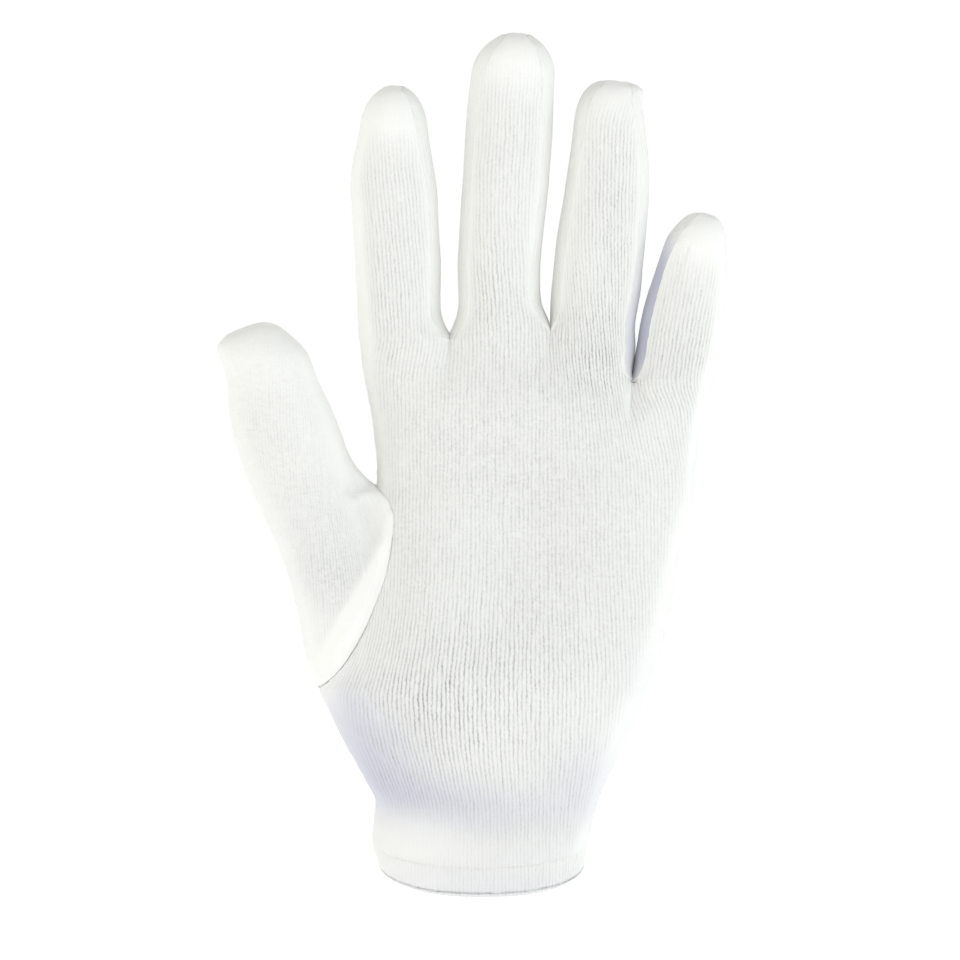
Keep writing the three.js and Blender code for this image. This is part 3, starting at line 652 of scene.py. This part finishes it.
def lay_thumb(rings, count):
    """The thumb is cut with its wales upright, so they wind slowly round it."""
    for ring in rings:
        places = skin.at(ring)
        run = lengths_along(places)
        along = THUMB.share_along(places) * THUMB.length
        lateral = places[:, 0] - THUMB.base[0] + (THUMB.base[2] - places[:, 2]) * math.tan(THUMB.lean)
        middle = np.interp(0, lateral[: count // 2], run[: count // 2])
        counts = (run - middle + along * math.tan(THUMB.lean)) / WALE
        skin.lay("thumb", ring[:-1], counts[:-1], places[:-1, 2] / COURSE)
        skin.close("thumb", ring[0], counts[-1])


def build_skin():
    """Builds the whole skin. Returns the points of the thumb seam, the rim and the hem seam."""
    webs = [outer_point(OUTER_SIDES["index"], -1)]
    webs += [fork_points(across, up) for across, up in FORKS]
    webs.append(outer_point(OUTER_SIDES["little"], 1))
    names = [f"fourchette_{a.name}_{b.name}" for a, b in zip(FINGERS, FINGERS[1:])]
    strips = [None, *names, None]
    sides = zip(FINGERS, webs, webs[1:], strips, strips[1:])
    built = [build_finger(*side) for side in sides]
    top_front, top_back = [], []
    for rings, parts in built:
        first, last = parts["palm_panel"]
        top_front += rings[0][first : last + 1] if not top_front else rings[0][first + 1 : last + 1]
    for rings, parts in built[::-1]:
        first, last = parts["back_panel"]
        top_back += rings[0][first : last + 1] if not top_back else rings[0][first + 1 : last + 1]
    loop, rim, hem_seam = build_body(top_front, top_back)
    lay_fingers(built)
    lay_thumb(build_thumb(loop), len(loop))
    return set(loop), rim, hem_seam


thumb_seam, rim, hem_seam = build_skin()
normals_of_skin = skin.normals()

PIXEL = 0.2674  # millimetres to a pixel of the photograph
PHOTO_MIDDLE = 480  # the pixel column of x = 0
PHOTO_RIM = 863  # the pixel row of z = 0


def photo(*points):
    """Points of the photograph, in pixels, as x and z."""
    return [((x - PHOTO_MIDDLE) * PIXEL, (PHOTO_RIM - y) * PIXEL) for x, y in points]


# Forms in the cloth of the palm side: height, reach to the left and right as seen along the line, the share
# that fades at each end, and the line in the photograph
FOLDS = {
    # The roll along the seam, the valley beside it, the crease and lip at the fork, and a dent near the tip
    "thumb": (
        (1.3, 2.0, 3.0, 0.22,
         photo((381, 512), (384, 533), (378, 562), (369, 590), (356, 620), (343, 648), (329, 672))),
        (-1.1, 4.5, 3.5, 0.3, photo((338, 520), (348, 545), (346, 575), (336, 605), (325, 630))),
        (-1.0, 0.9, 1.0, 0.35, photo((380, 483), (368, 482), (356, 485), (343, 490))),
        (0.3, 3.2, 2.6, 0.3, photo((374, 494), (360, 497), (345, 501), (326, 506))),
        (-0.6, 1.4, 1.4, 0.4, photo((219, 366), (229, 370), (236, 372))),
    ),
    # The little finger's crease, stitches and lip, puckers at the other forks, a dimple on the index finger,
    # and creases over the heel and the cuff
    "palm_panel": (
        (-0.55, 0.9, 0.9, 0.25, photo((628, 360), (631, 375), (635, 387), (643, 397), (650, 408))),
        (-0.4, 0.45, 0.45, 0.2, photo((690, 235), (682, 252), (674, 272), (668, 290))),
        (0.4, 1.6, 1.6, 0.4, photo((620, 366), (624, 382), (630, 395), (637, 406))),
        (-0.35, 0.5, 0.5, 0.3, photo((536, 320), (541, 325), (548, 329))),
        (-0.35, 0.5, 0.5, 0.3, photo((552, 326), (558, 322), (563, 316))),
        (-0.3, 0.6, 0.6, 0.3, photo((440, 330), (449, 335), (459, 331))),
        (-0.45, 1.2, 1.2, 0.5, photo((376, 141), (381, 142), (386, 144))),
        (-0.5, 2.2, 2.2, 0.5, photo((384, 802), (410, 812), (440, 822), (470, 828))),
        (-0.3, 2.0, 2.0, 0.5, photo((500, 838), (540, 834), (575, 824))),
    ),
}
FOLDS_FACE = (0.0, 0.3)  # how far a face looks to the palm side where a fold starts and where it is full
# A seam's edge rolls in over the first of these widths and down by the second. The thumb seam's roll fades to
# FORK_SEAM_ROLL between these heights
THUMB_SEAM_ROLL = (0.26, 0.16)
FORK_SEAM_ROLL = (0.24, 0.03)
THUMB_ROLL_FADES = (THUMB_SEAM_START + 8, THUMB_SEAM_START + 36)
SIDE_SEAM_ROLL = (0.25, 0.1)
HEM_SEAM_ROLL = (0.2, 0.0)
# Steps over a rolled edge, as shares of its width and its drop
ROLL_STEPS = ((1, 0), (0.55, 0.14), (0.22, 0.45))
SEAM_INSET = 0.02  # each side of a seam stands back by this much
RIM_STEPS = 6
SHARPEST_CORNER = 0.5  # keeps the step at a sharp corner from growing without end


def fold_heights(name, places, normals):
    """How far the folds push each point of a panel out."""
    pushed = np.zeros(len(places))
    for height, left, right, ends, line in FOLDS.get(name, ()):
        line = np.array(line)
        lengths = lengths_along(line)
        best = np.full(len(places), np.inf)
        along = np.zeros(len(places))
        side = np.zeros(len(places))
        for k, (a, b) in enumerate(zip(line, line[1:])):
            step = b - a
            size = np.linalg.norm(step)
            from_a = places[:, ::2] - a
            t = np.clip(from_a @ step / size**2, 0, 1)
            off = from_a - t[:, None] * step
            distance = np.linalg.norm(off, axis=1)
            nearer = distance < best
            best[nearer] = distance[nearer]
            along[nearer] = (lengths[k] + t * size)[nearer] / lengths[-1]
            side[nearer] = (step[0] * off[:, 1] - step[1] * off[:, 0])[nearer]
        reach = np.where(side > 0, left, right)
        fade = smooth(along, 0, ends) * (1 - smooth(along, 1 - ends, 1))
        facing = smooth(-normals[:, 1], *FOLDS_FACE)
        pushed += height * np.exp(-((best / reach) ** 2)) * fade * facing
    return pushed


# The unevenness of worn cloth: waves per millimetre across and along the hand, and height
BROAD_WAVES = (0.045, 0.045, 0.45)
FINE_WAVES = (0.16, 0.09, 0.22)
# Slanting wrinkles on the base of the thumb, in x and z
WRINKLES_MIDDLE = (-32, 88)
WRINKLES_REACH = (12, 14)
WRINKLES_SLANT = (0.72, -0.7)
WRINKLES_WAVES = 1.5
WRINKLES_SWAY = (2, 0.3)
WRINKLES_HEIGHT = 0.13


def uneven(place, across, along, height):
    return noise.noise(Vector((place[0] * across, place[1] * across, place[2] * along))) * height


def soft_waves(name, places, normals):
    """The slight unevenness of worn cloth."""
    waves = np.array([uneven(place, *BROAD_WAVES) + uneven(place, *FINE_WAVES) for place in places])
    if name == "thumb":
        flat = places[:, ::2]
        off = (((flat - WRINKLES_MIDDLE) / WRINKLES_REACH) ** 2).sum(axis=1)
        sway, sways = WRINKLES_SWAY
        slanted = flat @ WRINKLES_SLANT * WRINKLES_WAVES + sway * np.sin(flat[:, 1] * sways)
        wrinkles = WRINKLES_HEIGHT * np.sin(slanted) * np.exp(-off)
        waves += wrinkles * smooth(-normals[:, 1], *TONES_FACE)
    return waves


# Places of painted shade, a cool grey that stands in for the shadow over the heel, the cuff's foot, the strip
# beside the little finger and the thumb's base, and where the cloth has short slack wrinkles: middle in the
# photograph, reach in pixels and amount
PAINTED_SHADE_SPOTS = {
    "palm_panel": (
        ((366, 758), (52, 46), 0.64),
        ((415, 790), (64, 24), 0.42),
        ((490, 806), (74, 24), 0.36),
        ((586, 780), (44, 46), 0.3),
        ((346, 705), (30, 34), 0.38),
        ((636, 690), (34, 90), 0.12),
        ((684, 430), (26, 110), 0.08),
        ((590, 470), (50, 60), 0.05),
        ((520, 850), (80, 14), 0.16),
    ),
    "fourchette_ring_little": (
        ((648, 345), (22, 50), 1.0),
        ((662, 280), (16, 50), 0.9),
    ),
    "thumb": (
        ((300, 560), (60, 60), 0.07),
    ),
    "cuff_hem": (
        ((480, 880), (150, 24), 0.26),
    ),
}
# The crinkled places are also greyed by the darker drawn tone and by shade painted in the wrinkles' valleys
CRINKLED = {
    "thumb": (
        ((335, 565), (36, 44), 1.0),
        ((310, 500), (30, 40), 0.5),
        ((270, 420), (50, 100), 0.6),
    ),
    "palm_panel": (
        ((410, 560), (26, 60), 0.5),
        ((500, 440), (120, 90), 0.75),
        ((560, 560), (110, 110), 0.6),
        ((500, 180), (30, 130), 0.35),
        ((395, 230), (30, 120), 0.35),
        ((480, 700), (110, 80), 0.3),
    ),
}
# How far a face looks to the palm side where a place starts and where it is full. The strips between the
# fingers look sideways
TONES_FACE = (0.0, 0.4)
TONES_FACE_STRIPS = (-0.6, 0.0)


def spots_on(table, name, places, normals):
    """The amounts of a table of places, at each point of a panel."""
    found = np.zeros(len(places))
    for middle, reach, amount in table.get(name, ()):
        off = (places[:, ::2] - photo(middle)) / (np.array(reach) * PIXEL)
        found += amount * np.exp(-(off**2).sum(axis=1))
    faces = TONES_FACE_STRIPS if name.startswith("fourchette") else TONES_FACE
    return found * smooth(-normals[:, 1], *faces)


# How plainly the ribs of the knit show: plainly where the cloth is drawn tight, hardly where it is slack. The
# places are as above, with a change for an amount
RIBS_SHOW = {"palm_panel": 0.44, "back_panel": 0.5, "thumb": 0.2, "cuff_hem": 0.3}
RIBS_ELSEWHERE = 0.2
RIBS_LEAST, RIBS_MOST = 0.03, 1.2
RIB_PLACES = {
    "palm_panel": (
        ((420, 705), (62, 60), 0.6),
        ((500, 660), (90, 60), 0.35),
        ((540, 760), (80, 40), 0.1),
        ((590, 350), (50, 45), 0.45),
        ((612, 220), (22, 90), 0.35),
        ((690, 360), (26, 50), 0.4),
        ((490, 290), (22, 60), 0.3),
        ((392, 310), (18, 60), 0.2),
        ((395, 105), (50, 40), -0.6),
        ((512, 55), (50, 35), -0.45),
        ((608, 92), (45, 26), -0.5),
        ((700, 235), (40, 34), -0.5),
        ((398, 830), (60, 24), -0.6),
        ((500, 850), (90, 16), -0.25),
        ((612, 350), (44, 50), 0.25),
    ),
    "cuff_hem": (
        ((410, 870), (60, 30), -0.2),
    ),
    "thumb": (
        ((340, 560), (34, 50), 0.22),
        ((255, 350), (50, 45), -0.16),
    ),
}
# How far a face looks to the palm or the back where the ribs start to show and where they show fully. As they
# fade on the turned sides, the darker drawn tone fades too, which partly paints the sides lighter as painted
# edge light
RIBS_FACE_AND_PAINTED_EDGE_LIGHT = {
    "palm_panel": (0.62, 0.95),
    "back_panel": (0.5, 0.9),
    "cuff_hem": (0.1, 0.7),
    "thumb": (0.5, 0.95),
}
# Width of the smooth, slack roll of cloth beside the thumb seam. It is kept free of ribs, painted shade and
# crinkles, so it takes the light slack colour, partly a painted highlight on the roll
ROLL_WIDTH = Table("z wide", (46, 3.0), (52, 5.0), (60, 6.8), (70, 6.8), (80, 4.6), (88, 1.8), (102, 0.6))
ROLL_EDGE = 1.6  # width over which the roll gives way to the wrinkled cloth
ROLL_FACE = (-0.3, 0.0)  # it ends where the cloth turns from the palm side


def outside_roll(name, places, normals, from_seam):
    """1 all over, but 0 on the roll of cloth that lies on the palm side of the thumb, beside its seam. There
    the lighter slack colour partly paints the light on the roll.
    """
    if name != "thumb":
        return np.ones(len(places))
    wide = ROLL_WIDTH(places[:, 2])["wide"]
    beyond = smooth(from_seam, wide, wide + ROLL_EDGE)
    return np.maximum(beyond, smooth(normals[:, 1], *ROLL_FACE))


def rib_strength(name, places, normals):
    """How plainly the ribs show at each point, faded on the turned sides, which partly paints them lighter as
    lit edges.
    """
    shown = RIBS_SHOW.get(name, RIBS_ELSEWHERE) + spots_on(RIB_PLACES, name, places, normals)
    if name in RIBS_FACE_AND_PAINTED_EDGE_LIGHT:
        shown = shown * smooth(np.abs(normals[:, 1]), *RIBS_FACE_AND_PAINTED_EDGE_LIGHT[name])
    return np.clip(shown, RIBS_LEAST, RIBS_MOST)


# Small gathers along the seams: waves and height, as above. They fade over PUCKERS_REACH from the seam
PUCKERS = (0.55, 0.55, 0.3)
PUCKERS_REACH = 2.6
PUCKERS_END = 8


def seam_puckers(places, from_seam):
    """How far the gathers along the seams push each point out."""
    near = np.exp(-((from_seam / PUCKERS_REACH) ** 2)) * (from_seam < PUCKERS_END)
    return near * np.array([uneven(place, *PUCKERS) for place in places])


def open_edges(quads):
    """The edges that only one quad of a panel has, each with the corners of that quad."""
    used = {}
    for corners in quads:
        for i, a in enumerate(corners):
            used[a, corners[(i + 1) % len(corners)]] = corners
    return [(a, b, corners) for (a, b), corners in used.items() if (b, a) not in used]


def inward_steps(edges):
    """For each point on an open edge, the way in from it, scaled to step 1 in from both its edges."""
    sums = {}
    for a, b, corners in edges:
        along = skin.points[b] - skin.points[a]
        along = along / np.linalg.norm(along)
        centre = sum(skin.points[c] for c in corners) / len(corners)
        inward = centre - skin.points[a]
        inward = inward - along * inward.dot(along)
        inward = inward / np.linalg.norm(inward)
        for index in (a, b):
            sums.setdefault(index, []).append(inward)
    steps = {}
    for index, pair in sums.items():
        total = sum(pair)
        total = total / np.linalg.norm(total)
        steps[index] = total / max(total.dot(pair[0]), SHARPEST_CORNER)
    return steps


def edge_profile(index, thickness):
    """Steps across an edge of the cloth, from its outer face to its inner one: inset and depth."""
    if index in rim:
        half = thickness / 2
        angles = np.pi * np.arange(RIM_STEPS + 1) / RIM_STEPS
        return [(half * (1 - math.sin(a)), half * (1 - math.cos(a))) for a in angles]
    inset, drop = SIDE_SEAM_ROLL
    if index in thumb_seam:
        up = smooth(skin.points[index][2], *THUMB_ROLL_FADES)
        inset, drop = lerp(np.array(THUMB_SEAM_ROLL), np.array(FORK_SEAM_ROLL), up)
    elif index in hem_seam:
        inset, drop = HEM_SEAM_ROLL
    rolled = [(inset * across, drop * down) for across, down in ROLL_STEPS]
    return rolled + [(SEAM_INSET, drop), (SEAM_INSET, thickness)]


def seam_distances(indices, edge_indices):
    """How far each point of a panel lies from the nearest point on its edges."""
    tree = KDTree(len(edge_indices))
    for k, index in enumerate(edge_indices):
        tree.insert(skin.points[index], k)
    tree.balance()
    return np.array([tree.find(skin.points[index])[2] for index in indices])


def cloth_mesh(name, thickness=CLOTH):
    """Thickens a panel of the skin into a piece of cloth that stands for the panel's CAD node."""
    quads = skin.quads[name]
    edges = open_edges(quads)
    inwards = inward_steps(edges)
    order = {}
    for corners in quads:
        for index in corners:
            order.setdefault(index, len(order))
    indices = list(order)
    places = skin.at(indices)
    normals = normals_of_skin[indices]
    from_seam = seam_distances(indices, inwards)
    push = fold_heights(name, places, normals) + soft_waves(name, places, normals)
    push = push + seam_puckers(places, from_seam)
    vertices, spots = [], []

    def put(index, inset, depth):
        k = order[index]
        place = places[k] + normals[k] * (push[k] - depth)
        if index in inwards:
            place = place + inwards[index] * inset
        vertices.append(place * MM)
        spots.append(index)
        return len(vertices) - 1

    through = {}  # the vertices from the outer face to the inner one at each point
    for index in indices:
        steps = edge_profile(index, thickness) if index in inwards else [(0, 0), (0, thickness)]
        through[index] = [put(index, inset, depth) for inset, depth in steps]
    faces = []
    for corners in quads:
        faces.append([through[c][0] for c in corners])
        faces.append([through[c][-1] for c in corners[::-1]])
    for a, b, _ in edges:
        for i in range(len(through[a]) - 1):
            faces.append([through[a][i], through[a][i + 1], through[b][i + 1], through[b][i]])
    mesh = bpy.data.meshes.new(name + "_knit")
    mesh.from_pydata(vertices, [], faces)
    mesh.update()
    lay_knit(mesh, name, spots)
    outside = outside_roll(name, places, normals, from_seam)
    layers = {
        "ribs": rib_strength(name, places, normals) * outside,
        "painted_shade": np.clip(spots_on(PAINTED_SHADE_SPOTS, name, places, normals), 0, 1) * outside,
        "crinkles": np.clip(spots_on(CRINKLED, name, places, normals), 0, 1) * outside,
    }
    for title, amounts in layers.items():
        layer = mesh.attributes.new(title, "FLOAT", "POINT")
        layer.data.foreach_set("value", [float(amounts[order[index]]) for index in spots])
    mesh.shade_smooth()
    piece = bpy.data.objects.new(name + "_knit", mesh)
    bpy.context.scene.collection.objects.link(piece)
    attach(piece, "root")
    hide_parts(name)
    return piece


RING_CLOSES = 20  # a face whose wales differ by more than this is the one that closes a ring


def lay_knit(mesh, name, spots):
    """Writes the place of each corner in the knit, in wales and courses, as the UV map of the mesh."""
    knit = skin.knit[name]
    layer = mesh.uv_layers.new(name="knit")
    for polygon in mesh.polygons:
        corners = [spots[mesh.loops[i].vertex_index] for i in polygon.loop_indices]
        counts = [knit[c][0] for c in corners]
        highest = max(counts)
        for loop, corner, count in zip(polygon.loop_indices, corners, counts):
            if highest - count > RING_CLOSES and (name, corner) in skin.closing:
                count = skin.closing[name, corner]
            layer.data[loop].uv = (count, knit[corner][1])


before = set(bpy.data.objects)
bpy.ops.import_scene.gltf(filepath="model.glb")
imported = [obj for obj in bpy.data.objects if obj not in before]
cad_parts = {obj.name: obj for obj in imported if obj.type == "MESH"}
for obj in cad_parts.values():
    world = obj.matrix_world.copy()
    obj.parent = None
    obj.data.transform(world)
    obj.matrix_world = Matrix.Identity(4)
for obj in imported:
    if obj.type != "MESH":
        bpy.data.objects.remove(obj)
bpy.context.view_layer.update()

# Colours of the knit: slack, drawn tight, in its grooves, and the cool painted shade
KNIT = (0.87, 0.866, 0.838)
# Drawn tight is darker; it gives way to the slack colour on the turned sides, partly painted edge light
KNIT_DRAWN = (0.785, 0.783, 0.758)
# The dark of the lines in the grooves, partly painted shade in the grooves
KNIT_DARK = (0.2, 0.2, 0.21)
# A cool bluish grey that paints shade on the heel, the cuff's foot, the little finger's side strip and the
# thumb's base
PAINTED_SHADE_TINT = (0.5, 0.51, 0.62)
# Noises in wales and courses: scale across and along, scale of both, detail, distortion, gain and offset
NOISES = {
    "wander": (0.3, 0.1, 1.0, 2.0, 0.0, 0.9, -0.45),
    "jitter": (1.0, 0.8, 1.0, 2.0, 0.0, 0.46, -0.23),
    "broken": (0.9, 0.14, 1.1, 4.0, 0.0, 2.8, -0.9),
    "dashes": (1.6, 1.1, 1.0, 3.0, 0.0, 2.6, -0.75),
    "fuzz": (3.0, 3.0, 1.0, 4.0, 0.0, 1.0, 0.0),
    "patches": (0.05, 0.04, 1.0, 2.0, 0.0, 0.08, -0.04),
    "wrinkles": (0.5, 0.9, 1.0, 4.0, 0.8, 3.0, -1.5),
}
GROOVE_SHARPNESS = 2.4
RIDGE_ROUNDNESS = 0.55
STITCH_SLANT = 0.55  # in courses, from the edge of a wale to its middle
# Gain and offset of the two noises that break the dark lines up
BROKEN_DEPTH = (0.8, 0.28)
DASHES_DEPTH = (0.65, 0.4)
TIGHT_WHERE_RIBBED = 2.2
# Crinkled places take the darker drawn tone: painted shade of the crinkles
CRINKLES_PAINTED_SHADE = 0.7
# How much the lines, the fuzz (gain and offset) and the wrinkles darken the cloth, and how high each stands.
# The wrinkles
# darken where their valleys sink: painted shade
LINES_DARKEN = 0.8
FUZZ_DARKENS = (0.16, -0.08)
WRINKLE_VALLEYS_PAINTED_SHADE = 0.16
HEIGHTS = {"stitches": 0.2, "lines": -0.5, "fuzz": 0.5, "wrinkles": -2.0}
BUMP_STRENGTH = 0.55
BUMP_DISTANCE = 0.00022
FINISH = {"Roughness": 0.95, "Specular IOR Level": 0.15, "Sheen Weight": 0.35, "Sheen Roughness": 0.45}


def knit_material(name):
    """Jersey cotton: ribs with slanting stitches, broken dark lines between them, short wrinkles and fuzz."""
    material = bpy.data.materials.new(name)
    material.use_nodes = True
    tree = material.node_tree
    tree.nodes.clear()
    new, link = tree.nodes.new, tree.links.new

    def math_node(operation, a, b=None, c=None, clamp=False):
        made = new("ShaderNodeMath")
        made.operation = operation
        made.use_clamp = clamp
        for socket, value in zip(made.inputs, (a, b, c)):
            if value is None:
                continue
            if isinstance(value, (int, float)):
                socket.default_value = value
            else:
                link(value, socket)
        return made.outputs[0]

    def scaled(value, gain, offset, clamp=False):
        return math_node("MULTIPLY_ADD", value, gain, offset, clamp)

    def product(a, b):
        return math_node("MULTIPLY", a, b)

    def wave(turns):
        """From 1 to 0 and back over each whole turn."""
        return scaled(math_node("COSINE", product(turns, 2 * math.pi)), 0.5, 0.5)

    def attribute(title):
        found = new("ShaderNodeAttribute")
        found.attribute_name = title
        return found.outputs["Fac"]

    def mixed(factor, a, b):
        """A mix of two colours, each a socket or plain."""
        made = new("ShaderNodeMix")
        made.data_type = "RGBA"
        link(factor, made.inputs["Factor"])
        for title, colour in (("A", a), ("B", b)):
            if isinstance(colour, tuple):
                made.inputs[title].default_value = (*colour, 1)
            else:
                link(colour, made.inputs[title])
        return made.outputs["Result"]

    uv = new("ShaderNodeUVMap")
    uv.uv_map = "knit"
    split = new("ShaderNodeSeparateXYZ")
    link(uv.outputs["UV"], split.inputs[0])
    wales, courses = split.outputs["X"], split.outputs["Y"]

    def noise_of(title, clamp=False):
        across, along, scale, detail, distortion, gain, offset = NOISES[title]
        join = new("ShaderNodeCombineXYZ")
        link(product(wales, across), join.inputs["X"])
        link(product(courses, along), join.inputs["Y"])
        found = new("ShaderNodeTexNoise")
        found.inputs["Scale"].default_value = scale
        found.inputs["Detail"].default_value = detail
        found.inputs["Distortion"].default_value = distortion
        link(join.outputs[0], found.inputs["Vector"])
        return scaled(found.outputs["Fac"], gain, offset, clamp)

    shown, painted_shade, crinkled = attribute("ribs"), attribute("painted_shade"), attribute("crinkles")

    # The wales wander a little, and each one has its own width
    place = math_node("ADD", math_node("ADD", wales, noise_of("wander")), noise_of("jitter"))
    ridge = wave(place)
    groove = math_node("POWER", math_node("SUBTRACT", 1.0, ridge), GROOVE_SHARPNESS)

    # Two legs of each stitch slant up to the middle of the wale
    legs = math_node("ABSOLUTE", math_node("SINE", product(place, math.pi)))
    stitch = wave(math_node("ADD", courses, product(legs, STITCH_SLANT)))

    # Dark lines come and go along a wale
    broken = scaled(noise_of("broken", True), *BROKEN_DEPTH)
    dashes = scaled(noise_of("dashes", True), *DASHES_DEPTH)
    # The dark lines lie in the grooves and are partly painted shade there
    line = math_node("MULTIPLY", product(groove, product(broken, dashes)), shown, clamp=True)
    fuzz = noise_of("fuzz")
    wrinkle = product(noise_of("wrinkles"), crinkled)

    shade = math_node("MULTIPLY_ADD", line, LINES_DARKEN, scaled(fuzz, *FUZZ_DARKENS))
    # Wrinkles darken where they sink: painted shade in their valleys
    shade = math_node("MULTIPLY_ADD", wrinkle, WRINKLE_VALLEYS_PAINTED_SHADE, shade)
    shade = math_node("ADD", shade, noise_of("patches"), clamp=True)
    # Drawn cloth and crinkled places take the darker drawn tone; on the crinkles that tone is painted shade
    drawn_and_shaded_tone = scaled(shown, TIGHT_WHERE_RIBBED, product(crinkled, CRINKLES_PAINTED_SHADE), True)
    # The cool grey paints shade over the cloth's colour
    ground = mixed(painted_shade, mixed(drawn_and_shaded_tone, KNIT, KNIT_DRAWN), PAINTED_SHADE_TINT)

    height = product(math_node("POWER", ridge, RIDGE_ROUNDNESS), shown)
    layers = {"stitches": stitch, "lines": line, "fuzz": fuzz, "wrinkles": wrinkle}
    for title, layer in layers.items():
        height = math_node("MULTIPLY_ADD", layer, HEIGHTS[title], height)
    bump = new("ShaderNodeBump")
    bump.inputs["Strength"].default_value = BUMP_STRENGTH
    bump.inputs["Distance"].default_value = BUMP_DISTANCE
    link(height, bump.inputs["Height"])

    shader = new("ShaderNodeBsdfPrincipled")
    link(mixed(shade, ground, KNIT_DARK), shader.inputs["Base Color"])
    link(bump.outputs["Normal"], shader.inputs["Normal"])
    for title, value in FINISH.items():
        shader.inputs[title].default_value = value
    output = new("ShaderNodeOutputMaterial")
    link(shader.outputs[0], output.inputs["Surface"])
    return material


knit = knit_material("knit_cotton")
PANELS = (
    "palm_panel",
    "back_panel",
    "thumb",
    "fourchette_index_middle",
    "fourchette_middle_ring",
    "fourchette_ring_little",
)
for panel in PANELS:
    piece = cloth_mesh(panel)
    piece.data.materials.append(knit)
hem = cloth_mesh("cuff_hem", HEM_CLOTH - HEM_PRESSED)
hem.data.materials.append(knit)

# Floor and backdrop: a wide pale bowl, the same all round
FLOOR_HEIGHT = -0.075
FLOOR_RADIUS = 1.6
BOWL_CURVE = 1.2
BOWL_TOP = 2.6
BOWL_ROWS = 12
BOWL_COLUMNS = 96
PAPER = {
    "Base Color": (0.96, 0.96, 0.96, 1),
    "Roughness": 0.9,
    "Emission Color": (1, 1, 1, 1),
    "Emission Strength": 0.37,
}


def backdrop():
    """The bowl: a flat floor that curves up into a wall."""
    profile = []
    for a in np.linspace(0, math.pi / 2, BOWL_ROWS + 1):
        rise = BOWL_CURVE * (1 - math.cos(a))
        profile.append((FLOOR_RADIUS + BOWL_CURVE * math.sin(a), FLOOR_HEIGHT + rise))
    profile.append((FLOOR_RADIUS + BOWL_CURVE, BOWL_TOP))
    turns = 2 * math.pi * np.arange(BOWL_COLUMNS) / BOWL_COLUMNS
    vertices = [(0, 0, FLOOR_HEIGHT)]
    for r, z in profile:
        vertices += [(r * math.cos(turn), r * math.sin(turn), z) for turn in turns]
    here = range(1, BOWL_COLUMNS + 1)
    after = [*here[1:], 1]
    faces = [(0, a, b) for a, b in zip(here, after)]
    for row in range(len(profile) - 1):
        lower, upper = row * BOWL_COLUMNS, (row + 1) * BOWL_COLUMNS
        faces += [(lower + a, upper + a, upper + b, lower + b) for a, b in zip(here, after)]
    mesh = bpy.data.meshes.new("backdrop")
    mesh.from_pydata(vertices, [], faces)
    mesh.shade_smooth()
    paper = bpy.data.materials.new("backdrop_paper")
    paper.use_nodes = True
    for title, value in PAPER.items():
        paper.node_tree.nodes["Principled BSDF"].inputs[title].default_value = value
    mesh.materials.append(paper)
    made = bpy.data.objects.new("backdrop", mesh)
    bpy.context.scene.collection.objects.link(made)


backdrop()

# Soft lights that all look at the middle of the glove: name, place, size, power and colour
MIDDLE = (0.0, 0.0, 0.11)
WARM = (1, 0.985, 0.925)
COOL = (0.86, 0.95, 1)
COOLER = (0.66, 0.84, 1)
WHITE = (1, 1, 1)
LIGHTS = (
    ("left", (-1.25, -0.55, 0.95), 0.9, 4.0, WARM),
    ("front", (0, -1.2, 1.2), 0.8, 2.15, WARM),
    ("front_right", (0.9, -0.9, 1.2), 0.9, 1.6, WARM),
    ("right", (1.35, -0.6, 0.45), 0.9, 3.5, COOL),
    ("low_right", (1.1, -1.1, 0.0), 0.8, 2.2, COOLER),
    ("back", (-0.3, 1.4, 1.0), 1.0, 5.0, WHITE),
)
for name, place, size, power, colour in LIGHTS:
    data = bpy.data.lights.new(name, "AREA")
    data.shape = "DISK"
    data.size = size
    data.energy = power
    data.color = colour
    light = bpy.data.objects.new(name, data)
    light.location = place
    light.rotation_euler = (Vector(MIDDLE) - Vector(place)).to_track_quat("-Z", "Y").to_euler()
    bpy.context.scene.collection.objects.link(light)

SKY_STRENGTH = 0.05
world = bpy.data.worlds.new("studio")
world.use_nodes = True
sky = world.node_tree.nodes["Background"]
sky.inputs["Color"].default_value = (*WHITE, 1)
sky.inputs["Strength"].default_value = SKY_STRENGTH
bpy.context.scene.world = world

# The camera stands where the photograph was taken from
DISTANCE = 1.0
ELEVATION = math.radians(2.2)
TARGET = Vector((-0.0002, 0, 0.1029))
WIDTH_SEEN = 0.2568  # at that distance
SENSOR = 36
camera_data = bpy.data.cameras.new("camera")
camera_data.sensor_width = SENSOR
camera_data.lens = SENSOR * DISTANCE / WIDTH_SEEN
camera = bpy.data.objects.new("camera", camera_data)
camera.location = TARGET + DISTANCE * Vector((0, -math.cos(ELEVATION), math.sin(ELEVATION)))
camera.rotation_euler = (TARGET - camera.location).to_track_quat("-Z", "Y").to_euler()
bpy.context.scene.collection.objects.link(camera)
bpy.context.scene.camera = camera
bpy.context.scene.view_settings.view_transform = "Standard"
